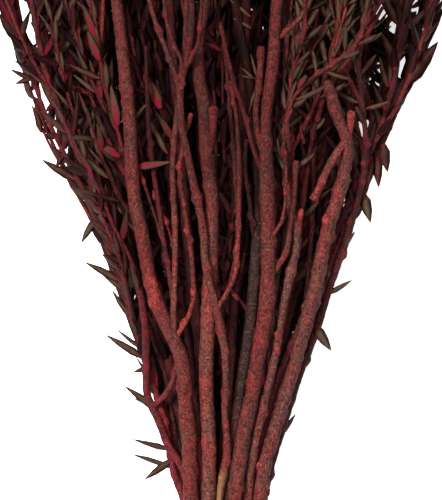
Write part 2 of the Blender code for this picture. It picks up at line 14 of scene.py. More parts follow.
import bpy
import numpy as np
from numpy.typing import NDArray
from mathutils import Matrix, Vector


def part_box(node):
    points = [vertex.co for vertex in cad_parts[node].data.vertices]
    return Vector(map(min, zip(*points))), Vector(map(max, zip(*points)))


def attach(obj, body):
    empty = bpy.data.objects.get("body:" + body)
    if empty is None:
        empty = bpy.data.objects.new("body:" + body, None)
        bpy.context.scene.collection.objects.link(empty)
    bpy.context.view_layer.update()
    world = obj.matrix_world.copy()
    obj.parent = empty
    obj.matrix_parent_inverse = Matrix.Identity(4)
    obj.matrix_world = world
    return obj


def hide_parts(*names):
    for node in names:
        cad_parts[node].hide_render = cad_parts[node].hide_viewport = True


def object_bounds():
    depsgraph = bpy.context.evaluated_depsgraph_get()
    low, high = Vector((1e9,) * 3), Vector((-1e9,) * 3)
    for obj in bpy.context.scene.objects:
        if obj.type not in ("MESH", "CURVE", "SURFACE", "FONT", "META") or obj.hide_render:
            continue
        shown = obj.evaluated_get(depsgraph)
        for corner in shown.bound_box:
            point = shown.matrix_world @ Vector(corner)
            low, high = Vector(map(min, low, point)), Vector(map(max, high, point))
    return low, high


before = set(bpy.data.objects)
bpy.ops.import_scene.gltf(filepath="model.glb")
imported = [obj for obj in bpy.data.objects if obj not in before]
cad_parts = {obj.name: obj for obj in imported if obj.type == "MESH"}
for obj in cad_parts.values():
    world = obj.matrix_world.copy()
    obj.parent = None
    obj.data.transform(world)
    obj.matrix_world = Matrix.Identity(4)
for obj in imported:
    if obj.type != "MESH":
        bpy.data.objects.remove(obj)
CAD_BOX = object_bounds()

LOG = logging.getLogger("phylica")
Array = NDArray[np.float64]
Whole = NDArray[np.int64]
Flags = NDArray[np.bool_]
Run = tuple[tuple[float, float], ...]
Socket = bpy.types.NodeSocket

MM = 0.001
GAP = 0.3
SEED = 11
GOLDEN_ANGLE = math.radians(137.5)
UP = np.array((0.0, 0.0, 1.0))
WHITE = (1.0, 1.0, 1.0, 1.0)
# A height over every tip: no leaves start here, and bark that shows up to here shows all the way.
NEVER = 999.0
# The foot radius below which a stem is young, and the stem that was cut back.
YOUNG_FOOT = 1.65
CUT_BACK = "stem_07"
# Painted shade on hidden wood deep in the bunch: how light it is painted, from 0 to 1.
HIDDEN_SHADE = 0.12

# The bunch as a whole: its heights above the lowest cut end, and the half axes of its section.
LEVEL = 4.0
HEIGHTS = np.arange(0.0, 484.0, LEVEL)
HALF_WIDTH = ((0, 22), (85, 18), (130, 28), (200, 54), (300, 86), (400, 102), (480, 104))
HALF_DEPTH = ((0, 12), (85, 10), (130, 16), (200, 28), (300, 43), (400, 52), (480, 54))
HEAD_LENGTH = 40.0
HEAD_SWELL = ((0.0, 2.2), (0.15, 4.8), (0.4, 9.0), (0.68, 12.5), (0.88, 11.0), (1.0, 6.5))
TIE_HEIGHT = 84.0
TIE_TURNS = 3
TIE_TURN_WIDTH = 3.4
TIE_THICKNESS = 1.8
TIE_SIDES = 30
TIE_PLAY = 0.35


class Ending(Enum):
    """How a stem, twig or side shoot ends at its upper end."""

    HEAD = "goes into a flower head"
    TIP = "thins to a growing tip"
    PRUNED = "was cut back and healed to a round knob"


class Bearing(Enum):
    """Which leaves grow on a stem, twig or side shoot."""

    NONE = "bare"
    BROAD = "the lance-shaped leaves of most stems"
    SMALL = "the slender arching leaves of a softer stem"


@dataclass(frozen=True)
class Axis:
    """The middle line of a stem or of one of its twigs.

    Attributes:
        name: the CAD node's name, or a twig's own.
        run: (height, across) points.
        foot: the radius at the lower end.
        tip: the radius at the upper end.
        rise: how deep it lies, from 1 on the bunch's upper side to -1 on its underside.
        leafy_from: the height from which it bears leaves.
        head: whether a flower head sits on its tip.
        stem: the stem that a twig grew on.
        joins_high: whether a twig meets its stem at its own upper end.
        dark: whether its bark is the smooth grey-black kind.
        hidden: whether it lies behind the stems of the upper side.
        pruned: whether its upper end was cut back.
        rough: how knobbly its bark is.
        blush: how far its bark takes the brighter red of the dye.
        small: whether its leaves are the slender arching kind.
        shown_to: the height up to which leaves don't cover it, if not leafy_from; above, painted
            shade.
        drawn: the shares of its radius and of its distance from its stem that are drawn.
        worn_to: the height up to which its bark has worn through.
    """

    name: str
    run: Run
    foot: float
    tip: float
    rise: float
    leafy_from: float = NEVER
    head: bool = False
    stem: str = ""
    joins_high: bool = False
    dark: bool = False
    hidden: bool = False
    pruned: bool = False
    rough: float = 1.0
    blush: float = 0.0
    small: bool = False
    shown_to: float = NEVER
    drawn: tuple[float, float] = (1.0, 1.0)
    worn_to: float = 0.0

    @property
    def low(self) -> float:
        """Give the height of its foot."""
        return self.run[0][0]

    @property
    def top(self) -> float:
        """Give the height of its tip."""
        return self.run[-1][0]

    @property
    def leaf_kind(self) -> Bearing:
        """Give the kind of leaves that it and its shoots bear."""
        return Bearing.SMALL if self.small else Bearing.BROAD


# The stems that show on the upper side, from the left fork to the right.
UPPER_STEMS = (
    Axis("stem_01", ((4, -9), (60, -11), (100, -12), (133, -14), (160, -17), (170, -22), (185, -28),
         (207, -32), (225, -35), (247, -36), (267, -38), (300, -42), (360, -47), (415, -50)), 3.1,
         1.1, 0.95, leafy_from=305, head=True, blush=0.35),
    Axis("stem_02", ((6, -5), (60, -4), (100, -4), (124, -5), (150, -6), (172, -5), (200, -4),
         (222, -4), (240, -6), (258, -7), (269, -9), (283, -9), (300, -6), (350, -2), (400, 2)),
         3.1, 1.1, 0.85, leafy_from=305, head=True, rough=0.7),
    Axis("stem_03", ((2, -1), (60, -2), (100, -3), (119, 1), (134, 1), (150, 2), (157, 2), (169, 0),
         (181, -3), (193, -6), (207, -7), (218, -9), (232, -12), (254, -16), (266, -16), (280, -13),
         (300, -12), (350, -18), (395, -24)), 1.7, 1.0, 1.0, leafy_from=290, head=True, rough=1.3,
         worn_to=112),
    Axis("stem_04", ((10, 4), (60, 3), (100, 3), (119, 5), (144, 8), (172, 12), (200, 14),
         (224, 15), (260, 12), (300, 6), (350, 4), (410, 2)), 2.4, 1.0, 0.7, leafy_from=250,
         head=True, dark=True, rough=0.4, shown_to=206),
    Axis("stem_05", ((0, 7), (60, 8), (100, 9), (127, 12), (156, 16), (173, 18), (200, 19),
         (240, 18), (256, 18), (273, 20), (300, 22), (350, 26), (400, 30), (430, 31)), 3.2, 1.1,
         1.0, leafy_from=310, head=True, blush=0.2),
    Axis("stem_06", ((8, 13), (60, 13), (100, 14), (127, 16), (153, 21), (167, 24), (180, 26),
         (193, 29), (205, 31), (222, 27), (250, 28), (300, 33), (350, 40), (388, 42)), 1.9, 1.1,
         0.85, leafy_from=225, head=True, rough=1.8, small=True),
    Axis("stem_07", ((3, 17), (60, 16), (100, 16), (120, 20), (140, 26), (161, 32), (185, 38),
         (213, 44), (225, 48), (244, 50), (251, 47), (264, 43)), 2.9, 2.2, 1.0, rough=1.5),
    Axis("stem_08", ((9, 20), (60, 18), (100, 18), (116, 22), (140, 29), (172, 40), (191, 46),
         (213, 53), (240, 58), (256, 57), (271, 55), (300, 58), (350, 66), (400, 72)), 1.6, 1.0,
         0.9, leafy_from=200, head=True, rough=1.4, small=True),
    Axis("stem_09", ((5, -13), (60, -13), (100, -14), (112, -17), (120, -22), (131, -26),
         (140, -30), (153, -30), (172, -30), (184, -32), (196, -36), (209, -43), (225, -50),
         (240, -58), (264, -68), (300, -76), (350, -84), (400, -88)), 1.6, 1.0, 1.0, leafy_from=160,
         head=True, blush=0.5),
    Axis("stem_10", ((7, -17), (60, -18), (100, -19), (109, -22), (128, -25), (151, -31),
         (164, -34), (183, -39), (199, -44), (225, -56), (249, -68), (264, -74), (297, -85),
         (350, -93), (385, -94)), 1.5, 0.9, 0.6, leafy_from=140, head=True, blush=0.6),
    Axis("stem_11", ((2, 19), (60, 18), (100, 17), (140, 24), (180, 38), (208, 50), (228, 59),
         (241, 64), (260, 72), (273, 77), (300, 86), (350, 93), (390, 95)), 1.5, 0.9, 0.5,
         leafy_from=215, head=True, rough=1.3, blush=0.3),
    Axis("stem_12", ((5, 14), (60, 15), (100, 15), (140, 21), (180, 36), (210, 48), (240, 60),
         (256, 66), (273, 70), (300, 74), (350, 80), (440, 80)), 1.4, 0.9, 0.7, leafy_from=205,
         head=True, blush=0.3),
    Axis("stem_13", ((3, -8), (100, -9), (150, -16), (200, -30), (250, -42), (265, -46), (290, -50),
         (350, -60), (425, -66)), 1.5, 1.0, 0.8, leafy_from=190, head=True, blush=0.6),
    Axis("stem_14", ((6, 11), (100, 12), (160, 24), (200, 30), (240, 36), (300, 48), (350, 54),
         (420, 58)), 1.4, 0.9, 0.8, leafy_from=258, head=True, blush=0.5, small=True, shown_to=195),
)

# Twigs, forks and pruned stubs of those stems.
TWIGS = (
    Axis("twig_01a", ((163, -18), (187, -18), (207, -18), (240, -18), (265, -16), (285, -14),
         (300, -14), (350, -13), (385, -12)), 1.2, 0.8, 0.9, leafy_from=300, head=True,
         stem="stem_01"),
    Axis("twig_01b", ((165, -17), (173, -12), (180, -10), (188, -10), (204, -12), (218, -15),
         (232, -17), (243, -15), (254, -12)), 0.9, 1.0, 0.9, stem="stem_01", pruned=True, rough=1.6,
         blush=0.4),
    Axis("twig_02a", ((236, -5), (245, -3), (256, -3)), 1.9, 1.9, 1.0, stem="stem_02", pruned=True,
         rough=0.6, blush=0.5),
    Axis("twig_03a", ((178, -2), (188, 4), (200, 6), (218, 7), (232, 7), (250, 6), (266, 4)), 1.0,
         0.8, 0.85, stem="stem_03", blush=0.5),
    Axis("twig_03b", ((264, -16), (275, -20), (287, -25), (300, -29), (335, -34)), 1.0, 0.7, 1.0,
         leafy_from=300, stem="stem_03", rough=1.4),
    Axis("twig_04a", ((201, 14), (217, 12), (231, 10), (243, 10)), 0.9, 0.8, 0.9, stem="stem_04",
         rough=1.8),
    Axis("twig_05a", ((236, 18), (245, 15), (256, 15), (267, 16), (280, 16)), 1.3, 1.3, 1.0,
         stem="stem_05", pruned=True, rough=0.8),
    Axis("twig_05b", ((283, 21), (287, 28), (291, 32), (298, 36), (315, 42), (340, 46)), 1.0, 0.7,
         1.0, leafy_from=305, stem="stem_05"),
    Axis("twig_05c", ((228, 18), (236, 14), (255, 9), (267, 5), (279, 2), (289, 0)), 0.9, 0.8, 1.0,
         stem="stem_05", blush=0.3),
    Axis("twig_05d", ((189, 19), (193, 22), (198, 25), (209, 27), (223, 29), (235, 30)), 1.2, 1.2,
         0.95, stem="stem_05", pruned=True, rough=0.8),
    Axis("twig_07a", ((244, 50), (250, 52), (255, 52)), 1.6, 1.6, 1.0, stem="stem_07", pruned=True,
         rough=0.9, blush=0.4, drawn=(0.62, 0.4)),
    Axis("twig_07b", ((220, 37), (226, 40), (234, 44), (243, 50)), 1.4, 1.5, 1.0, stem="stem_07",
         joins_high=True, rough=1.2),
    Axis("twig_09a", ((137, -29), (141, -25), (149, -21), (160, -19), (180, -20), (210, -24),
         (240, -28), (280, -30)), 1.1, 0.8, 0.8, leafy_from=205, stem="stem_09", blush=0.4,
         shown_to=222),
    Axis("twig_14a", ((254, 38), (264, 42), (271, 47), (283, 56), (296, 64)), 1.0, 0.7, 1.0,
         leafy_from=260, stem="stem_14", blush=1.0, small=True),
)

# The stems behind and beneath: (place across, place in depth, foot radius, tip height).
HIDDEN_STEMS = (
    (-0.86, -0.25, 1.7, 405), (-0.62, -0.70, 2.0, 425), (-0.30, -0.95, 2.3, 400),
    (0.02, -1.0, 2.1, 440), (0.34, -0.95, 2.3, 395), (0.66, -0.70, 2.0, 430),
    (0.88, -0.20, 1.7, 410), (-0.60, 0.10, 2.1, 395), (-0.32, -0.40, 2.4, 440),
    (0.05, -0.45, 2.2, 385), (0.36, -0.40, 2.3, 435), (0.62, 0.10, 2.0, 385),
    (-0.24, 0.25, 2.2, 430), (0.12, 0.20, 2.0, 442),
)


@dataclass(frozen=True)
class ThinTwig:
    """A twig too thin for the frame, which follows its stem's depth.

    Attributes:
        stem: the stem or twig that it grew on.
        run: (height, across) points, of which the first is on the stem.
        foot: the radius at the lower end.
        tip: the radius at the upper end.
        lift: how far above its stem's middle it comes to lie, or below it where negative.
        blush: how far its bark takes the brighter red of the dye.
        pruned: whether its upper end was cut back.
        bearing: which leaves it bears.
        leafy_from: how far along it they start.
        light: how light its bark is painted, from 0 to 1; less is painted shade deep in the bunch.
    """

    stem: str
    run: Run
    foot: float
    tip: float
    lift: float
    blush: float = 0.3
    pruned: bool = False
    bearing: Bearing = Bearing.NONE
    leafy_from: float = NEVER
    light: float = 1.0


THIN_TWIGS = (
    ThinTwig("stem_13", ((160, -18), (180, -19), (198, -22), (221, -29), (236, -34)), 0.8, 0.6, 3),
    ThinTwig("stem_13", ((168, -18), (184, -18), (205, -20), (223, -27)), 0.7, 0.5, 0),
    ThinTwig("stem_04", ((172, 6), (195, 1), (211, 5), (228, 7)), 0.8, 0.6, -7, 0.6),
    ThinTwig("stem_05", ((197, 17), (206, 22), (216, 25), (232, 26)), 0.7, 0.6, 3, 0.3),
    ThinTwig("stem_03", ((266, -16), (276, -17), (290, -21), (306, -24)), 0.9, 0.6, 2, 0.2),
    ThinTwig("stem_03", ((268, -15), (278, -10), (292, -8), (306, -8)), 0.9, 0.6, 2, 0.2),
    ThinTwig("stem_06", ((205, 31), (209, 33), (216, 33)), 0.9, 0.7, 2, 0.2, True),
    ThinTwig("stem_02", ((150, -6), (175, 0), (200, 6), (240, 5), (285, 1)), 1.1, 0.8, -9, 0.1),
    # These two lie under their stems, and their bark is painted in shade.
    ThinTwig("stem_07", ((160, 32), (190, 35), (215, 37), (250, 38)), 1.2, 0.9, -8, 0.3, light=0.3),
    ThinTwig("stem_08", ((150, 32), (180, 37), (214, 47), (250, 55)), 1.1, 0.8, -8, 0.4, light=0.3),
    ThinTwig("stem_06", ((238, 26), (250, 26), (261, 29), (269, 37), (275, 46), (281, 53),
             (288, 56), (304, 60)), 1.0, 0.7, 9, 0.6, bearing=Bearing.SMALL, leafy_from=8.0),
    ThinTwig("stem_06", ((226, 26), (244, 25), (256, 26), (268, 28), (277, 30), (284, 32),
             (300, 33), (318, 36)), 0.9, 0.6, 6, 0.6, bearing=Bearing.SMALL, leafy_from=6.0),
)

# Twigs of the hidden stems, painted dark as the shade deep in the bunch, in the places between
# them: the stem, the run, the foot radius, the lift and how far along the leaves start.
DARK_TWIGS = (
    ("stem_18", ((104, 0), (150, -4), (200, -8), (250, -10), (330, -13)), 1.3, 4, 10.0),
    ("stem_24", ((150, 3), (200, -3), (240, -9), (280, -9), (335, -6)), 1.2, 4, 10.0),
    ("stem_19", ((110, 8), (160, 11), (220, 16), (260, 18), (335, 22)), 1.3, 5, 10.0),
    ("stem_23", ((130, -9), (180, -16), (236, -28), (270, -36), (330, -44)), 1.3, 4, 10.0),
    ("stem_25", ((120, 9), (180, 24), (230, 34), (270, 42), (330, 50)), 1.3, 4, 14.0),
)
THIN_TWIGS += tuple(
    ThinTwig(stem, run, foot, 0.9, lift, 0.1, bearing=Bearing.BROAD, leafy_from=leafy, light=HIDDEN_SHADE)
    for stem, run, foot, lift, leafy in DARK_TWIGS)


@dataclass(frozen=True)
class MarkedLeaf:
    """A leaf that breaks the outline or stands out over the others.

    Attributes:
        stem: the stem whose depth it follows, and on which it sits where start isn't given.
        low: its base's height.
        high: its tip's height.
        across: its tip's place across.
        width: its width.
        start: its base's place across.
        lift: how far over the stem's middle it lies.
        felted: whether it shows its crimson underside.
    """

    stem: str
    low: float
    high: float
    across: float
    width: float = 2.9
    start: float | None = None
    lift: float = 0.0
    felted: bool = False


# For each stem, its leaves' fields in that order.
MARKED_PLACES = {
    "stem_10": (
        (119, 123, -37), (111, 118, -36), (115, 106, -31), (134, 145, -40), (136, 140, -36, 2.2),
        (156, 166, -47), (160, 168, -43, 2.0), (187, 196, -55), (183, 193, -50, 2.2),
        (213, 203, -57), (228, 235.5, -73, 3.4), (268, 273, -85, 2.2), (269, 267, -83, 2.4),
        (255, 262.5, -75.6), (251.5, 259.7, -75, 2.6), (239, 233, -66.5, 2.5),
        (220, 225.5, -61.5, 2.6), (284, 297, -76.5, 3.6, -81, 2), (277, 284, -73, 2.6, -79.5, 2),
        (245, 247, -70, 2.6), (237, 240, -67, 2.2), (277, 275, -80, 1.8), (152, 151, -36, 2.8),
        (172, 183, -45.5, 2.4), (247, 258, -75.5, 2.8, -72.0, 1),
    ),
    "stem_08": (
        (182, 188, 53, 2.2), (170, 159, 44.5, 4.2, 37.5), (124, 133, 31, 2.2),
    ),
    # Broad leaves that turn their crimson felt up, by the left fork and in the hollow beside it.
    "stem_01": (
        (256, 271, -29, 5.4, -24, -7, True), (249, 266, -44, 4.2, -41, 2, True),
        (237, 244, -51, 4.2, -40, 2, True), (275, 287, -54, 3.8, -48, 2, True),
        (233, 235, -19, 3.6, -35, -1.2, True), (238, 253, -31, 3.0, -21, -7),
        (251, 259, -29, 2.6, -36, -4),
    ),
    "stem_02": (
        (244, 256, -26, 3.4, -19, -12, True),
    ),
    # Slender leaves left of the thick middle stem.
    "stem_04": (
        (268.5, 269.5, 6.5, 1.7, 13.7, 2), (268.0, 272.5, 7.6, 1.6, 13.5, 3),
        (268.5, 278.5, 11.4, 1.7, 14.4, 3), (265.0, 253.5, 10.8, 1.7, 13.7, 1),
        (288.0, 292.5, 4.6, 1.9, 12.4, 1), (292.5, 300.0, 2.8, 1.9, 12.2, 1),
    ),
    # Large lances at the right edge.
    "stem_11": (
        (266, 284, 87, 6.4, 74, 2), (238, 225, 63, 4.0, None, 2), (223, 211, 60.5, 4.4, 57, 2),
        (239, 224, 58, 4.0, 60, 3, True), (243, 231, 66.5, 4.6, 65, 4), (274, 288, 64, 3.9, 71, 4),
        (265, 277.5, 62, 2.8, 67.5, 4), (256.5, 267, 60.5, 2.4, 66, 3),
        (249, 260, 60.5, 2.8, 65, 3), (289, 301, 64, 3.8, 73, 4), (281, 297, 75, 4.4, 80, 3),
        (257, 270, 72, 3.4, 68, 4),
    ),
}
MARKED_LEAVES = tuple(MarkedLeaf(stem, *place) for stem, places in MARKED_PLACES.items()
                      for place in places)

# Gaps in the foliage through which the floor shows: height, place across, half length, half
# width, and how far they lean across for each step up.
FLOOR_GAPS = (
    (288, -77, 5.5, 1.6, -0.45), (297, -79, 3.0, 1.4, -0.2), (259, -71, 2.0, 1.0, -0.45),
    (246, -66, 2.5, 1.0, -0.3), (240, -63, 1.8, 0.8, -0.45), (235, -56, 2.0, 0.7, -0.5),
    (183, -36, 1.8, 0.5, -0.45), (160, -34, 3.0, 0.8, -0.45), (137, -29, 2.5, 0.6, -0.45),
    (296, 64, 3.0, 0.8, 0.1), (289, 69, 2.0, 0.8, -0.4), (299, 78, 2.0, 1.2, 0.2),
    (270, 66, 3.0, 0.4, -0.7), (265.5, 64, 3.5, 0.6, -0.55), (274, 73.5, 3.0, 0.9, 0.2),
    (290, 60.7, 1.3, 0.3, 0.3), (283, 69.8, 1.3, 0.3, 0.0), (272, 52.5, 0.9, 0.4, 0.0),
    (254.5, 57, 1.0, 0.3, 0.0),
    (257, 48, 1.2, 0.5, 0.3), (249, 56, 3.2, 0.8, -0.3), (251, 59, 3.0, 0.4, 0.0),
    (244, 61, 2.5, 0.8, 0.4), (245, 46, 1.4, 0.8, 0.2), (239, 44, 1.6, 0.6, 0.3),
    (221, 50, 1.5, 0.6, 0.3),
)


def unit(vectors: Array) -> Array:
    """Scale vectors along the last dimension to length 1."""
    return vectors / np.maximum(np.linalg.norm(vectors, axis=-1, keepdims=True), 1e-9)


def turns(count: int) -> Array:
    """Give the angles of evenly spaced points round a circle."""
    return math.tau * np.arange(count) / count


def around(angle: Array, across: Array, outward: Array) -> Array:
    """Give the directions at some angles round a line: cos a across plus sin a outward."""
    return np.cos(angle)[:, None] * across + np.sin(angle)[:, None] * outward


def lengths_along(points: Array) -> Array:
    """Give each point's distance from the first, along the line through them all."""
    steps = np.linalg.norm(np.diff(points, axis=0), axis=1)
    return np.concatenate([[0.0], np.cumsum(steps)])


def swell(share: Array) -> Array:
    """Give a flower head's radius at some shares of its length."""
    return np.interp(share, *np.array(HEAD_SWELL).T)


def grid_quads(rows: int, columns: int, loops: bool, wraps: bool) -> Whole:
    """Number the corners of the quads over a grid of points.

    Args:
        rows: how many rows the grid has.
        columns: how many points each row has.
        loops: whether the last row joins the first.
        wraps: whether each row's last point joins its first.

    Returns:
        (quads, 4) numbers, each quad going from its row to the next and then along it.
    """
    row, column = np.meshgrid(np.arange(rows if loops else rows - 1),
                              np.arange(columns if wraps else columns - 1), indexing="ij")
    after, beside = (row + 1) % rows, (column + 1) % columns
    corners = ((row, column), (after, column), (after, beside), (row, beside))
    return np.stack([r * columns + c for r, c in corners], axis=-1).reshape(-1, 4)


def painted(shape: tuple[int, ...], *values: Array | float) -> Array:
    """Give an array of painted values: up to four over a shape, and 0 for the rest."""
    paint = np.zeros((*shape, 4))
    for k, value in enumerate(values):
        paint[..., k] = value
    return paint


def number_of(name: str) -> int:
    """Read the number at the end of a stem's name."""
    return int(name[-2:])


def put(name: str, data: bpy.types.ID) -> bpy.types.Object:
    """Put a mesh, a lamp or a camera into the scene as an object."""
    made = bpy.data.objects.new(name, data)
    bpy.context.scene.collection.objects.link(made)
    return made


def through(points: Run, at: Array) -> Array:
    """Read a smooth curve through points at some heights, straight past its ends.

    Args:
        points: (height, value) pairs, joined by cubics that share their slopes.
        at: the heights to read.

    Returns:
        The value at each height.
    """
    heights, values = np.array(points, dtype=float).T
    slopes = np.gradient(values, heights)
    span = np.clip(np.searchsorted(heights, at) - 1, 0, len(heights) - 2)
    width = heights[span + 1] - heights[span]
    t = np.clip((at - heights[span]) / width, 0, 1)
    first = values[span] * (1 + 2 * t) * (1 - t) ** 2 + values[span + 1] * t * t * (3 - 2 * t)
    second = width * (slopes[span] * t * (1 - t) ** 2 - slopes[span + 1] * t * t * (1 - t))
    beyond = slopes[-1] * np.maximum(at - heights[-1], 0)
    before = slopes[0] * np.minimum(at - heights[0], 0)
    return first + second + beyond + before


def hidden_axis(number: int, across: float, depth: float, foot: float, top: float) -> Axis:
    """Lay out a stem that keeps its place in the bunch's widening section.

    Args:
        number: its number in the bunch.
        across: its place across the section, from -1 to 1.
        depth: its place in depth, from -1 to 1.
        foot: its radius at the cut end.
        top: its tip's height.

    Returns:
        The stem's axis.
    """
    start = 2 + (number * 5) % 11
    heights = np.array((start, 50, 85, 130, 200, 300, top), dtype=float)
    run = tuple(zip(heights, across * through(HALF_WIDTH, heights)))
    return Axis(f"stem_{number:02d}", run, foot, 1.0, depth, leafy_from=185 + 30 * abs(depth),
                head=True, hidden=True, blush=0.2)


def all_axes() -> list[Axis]:
    """List every stem of the frame, then every twig."""
    hidden = [hidden_axis(len(UPPER_STEMS) + 1 + i, *place) for i, place in enumerate(HIDDEN_STEMS)]
    return list(UPPER_STEMS) + hidden + list(TWIGS)


class Layout:
    """Where every axis runs once gravity and its neighbours have had their say.

    The frame's stems were laid out in this same way. x and z hold each axis's place at each of the
    HEIGHTS, r its radius there (its flower head's past the tip) and alive where it exists. Each
    round PULLs an axis to its home and SQUEEZEs it towards MIDDLE, the tie's own height over the
    surface, and SIDEWAYS as much across, until the last SETTLING rounds only push apart what lies
    closer than ROOM. The bend that this leaves is SMOOTHed, and only the last UNSMOOTHED rounds
    go without. FIRM is how far an upper stem gives way for a hidden one's 1, FORK how soon a twig
    clears its stem, and EASED how many of its levels follow its root. The squeeze fades over
    TIE_REACH, and the band's room under the stems over BAND_REACH. Sections are remeasured every
    REMEASURED rounds.
    """

    ROUNDS = 420
    SETTLING = 160
    UNSMOOTHED = 12
    PULL = 0.03
    SQUEEZE = 0.06
    SIDEWAYS = 0.3
    MIDDLE = 9.0
    ROOM = 1.6 * GAP
    PUSH = 0.55
    FIRM = 0.35
    FORK = 16.0
    EASED = 4
    TIE_REACH = 30
    BAND_REACH = 22
    SMOOTH = 0.25
    GENTLE = 0.12
    REMEASURED = 10

    def __init__(self, axes: list[Axis]) -> None:
        """Settle the axes.

        Args:
            axes: every stem and twig of the frame.
        """
        self.axes = axes
        self.index = {axis.name: i for i, axis in enumerate(axes)}
        self.home_x = np.array([through(axis.run, HEIGHTS) for axis in axes])
        half_width = through(HALF_WIDTH, HEIGHTS)
        half_depth = through(HALF_DEPTH, HEIGHTS)
        rise = np.array([axis.rise for axis in axes])[:, None]
        rim = np.sqrt(1 - np.clip(self.home_x / half_width, -0.95, 0.95) ** 2)
        self.home_z = half_depth * (1 + rise * rim)
        self.r = np.array([self.radii(axis) for axis in axes])
        low = np.array([axis.low for axis in axes])[:, None]
        reach = np.array([axis.top + HEAD_LENGTH * axis.head for axis in axes])[:, None]
        self.alive = (HEIGHTS >= low - 0.5 * LEVEL) & (HEIGHTS <= reach + 0.5 * LEVEL)
        self.floor = np.array([self.rests(axis, r) for axis, r in zip(axes, self.r)])
        self.x = self.home_x.copy()
        self.z = self.home_z.copy()
        self.pair_up()
        self.settle()

    @staticmethod
    def radii(axis: Axis) -> Array:
        """Work out a stem's radius at each height, and its head's beyond the tip.

        Args:
            axis: the stem or twig.

        Returns:
            The radius at each of the HEIGHTS.
        """
        share = np.clip((HEIGHTS - axis.low) / (axis.top - axis.low), 0, 1)
        wood = axis.tip + (axis.foot - axis.tip) * (1 - share**3)
        if not axis.head:
            return wood
        head = swell((HEIGHTS - axis.top) / HEAD_LENGTH)
        return np.where(HEIGHTS > axis.top - LEVEL, np.maximum(wood, head), wood)

    @staticmethod
    def rests(axis: Axis, radii: Array) -> Array:
        """Work out how high an axis must lie, so that neither wood, band nor head sinks.

        Args:
            axis: the stem or twig.
            radii: its radius at each of the HEIGHTS.

        Returns:
            The least height of its middle line over the surface.
        """
        near_tie = np.exp(-(((HEIGHTS - TIE_HEIGHT) / Layout.BAND_REACH) ** 2))
        band = (TIE_THICKNESS + 3 * GAP) * near_tie
        rest = radii + band
        if not axis.head:
            return rest
        widest = max(radius for _, radius in HEAD_SWELL)
        lift = widest * np.clip(1 + (HEIGHTS - axis.top) / HEAD_LENGTH, 0, 1)
        return np.maximum(rest, lift)

    def pair_up(self) -> None:
        """List the pairs of axes that must clear each other, and ease a twig off its stem."""
        first, second = np.triu_indices(len(self.axes), 1)
        both = self.alive[first] & self.alive[second]
        ease = both.astype(float)
        for pair, (i, j) in enumerate(zip(first, second)):
            twig = self.axes[j]
            if twig.stem == self.axes[i].name:
                ease[pair] *= np.clip(np.abs(HEIGHTS - self.joint(twig)) / self.FORK - 0.2, 0, 1)
        self.first, self.second, self.ease = first, second, ease
        firm = np.where(np.arange(len(self.axes)) < len(UPPER_STEMS), self.FIRM, 1.0)
        self.share = (firm[first] / (firm[first] + firm[second]))[:, None]

    @staticmethod
    def joint(twig: Axis) -> float:
        """Give the height at which a twig leaves its stem."""
        return twig.top if twig.joins_high else twig.low

    def slant(self) -> Array:
        """Give how much each tilted stem's section grows at a level."""
        across = np.gradient(self.x, LEVEL, axis=1)
        up = np.gradient(self.z, LEVEL, axis=1)
        return np.sqrt(1 + across**2 + up**2)

    def settle(self) -> None:
        """Pull each axis to its place, squeeze the tie, and push apart what overlaps."""
        near_tie = np.exp(-(((HEIGHTS - TIE_HEIGHT) / self.TIE_REACH) ** 2))
        section = self.r
        for step in range(self.ROUNDS):
            free = step > self.ROUNDS - self.SETTLING
            if not free:
                self.x += self.PULL * (self.home_x - self.x)
                self.z += self.PULL * (self.home_z - self.z)
                self.x -= self.SIDEWAYS * self.SQUEEZE * near_tie * self.x
                self.z -= self.SQUEEZE * near_tie * (self.z - self.MIDDLE)
            if step % self.REMEASURED == 0:
                section = self.r * self.slant()
            self.push(section)
            if step < self.ROUNDS - self.UNSMOOTHED:
                self.smooth(self.GENTLE if free else self.SMOOTH)
            self.hold_twigs()
            self.z = np.maximum(self.z, np.maximum(section, self.floor))

    def push(self, section: Array) -> None:
        """Move each overlapping pair apart along the line between the two.

        Args:
            section: each axis's radius across the bunch at each of the HEIGHTS.
        """
        i, j = self.first, self.second
        dx = self.x[i] - self.x[j]
        dz = self.z[i] - self.z[j]
        distance = np.sqrt(dx * dx + dz * dz) + 1e-6
        need = (section[i] + section[j] + self.ROOM) * self.ease
        push = self.PUSH * np.maximum(need - distance, 0) / distance
        for place, delta in ((self.x, dx), (self.z, dz)):
            np.add.at(place, i, push * delta * self.share)
            np.subtract.at(place, j, push * delta * (1 - self.share))

    def smooth(self, amount: float) -> None:
        """Share each axis's displacement with its neighbours along the axis."""
        inner = self.alive[:, 1:-1] & self.alive[:, :-2] & self.alive[:, 2:]
        for place, home in ((self.x, self.home_x), (self.z, self.home_z)):
            shift = place - home
            bend = shift[:, :-2] - 2 * shift[:, 1:-1] + shift[:, 2:]
            place[:, 1:-1] += amount * np.where(inner, bend, 0)

    def hold_twigs(self) -> None:
        """Put each twig's root on its stem's middle line, and ease the next levels after it."""
        for i, twig in enumerate(self.axes):
            if not twig.stem:
                continue
            root = self.index[twig.stem]
            levels = np.flatnonzero(self.alive[i])
            order = levels[::-1] if twig.joins_high else levels
            for place in (self.x, self.z):
                miss = place[root, order[0]] - place[i, order[0]]
                for count, level in enumerate(order[: self.EASED]):
                    place[i, level] += miss * (1 - count / self.EASED)

    def line(self, name: str, heights: Array) -> Array:
        """Read an axis's middle line.

        Args:
            name: the axis.
            heights: where to read it.

        Returns:
            Its (x, height, z) at each height.
        """
        high = np.interp(heights, HEIGHTS, self.z[self.index[name]])
        return np.stack([self.across(name, heights), heights, high], axis=-1)

    def across(self, name: str, heights: Array) -> Array:
        """Read an axis's place across at some heights."""
        return np.interp(heights, HEIGHTS, self.x[self.index[name]])

    def radius(self, name: str, heights: Array) -> Array:
        """Read an axis's radius at some heights."""
        return np.interp(heights, HEIGHTS, self.r[self.index[name]])


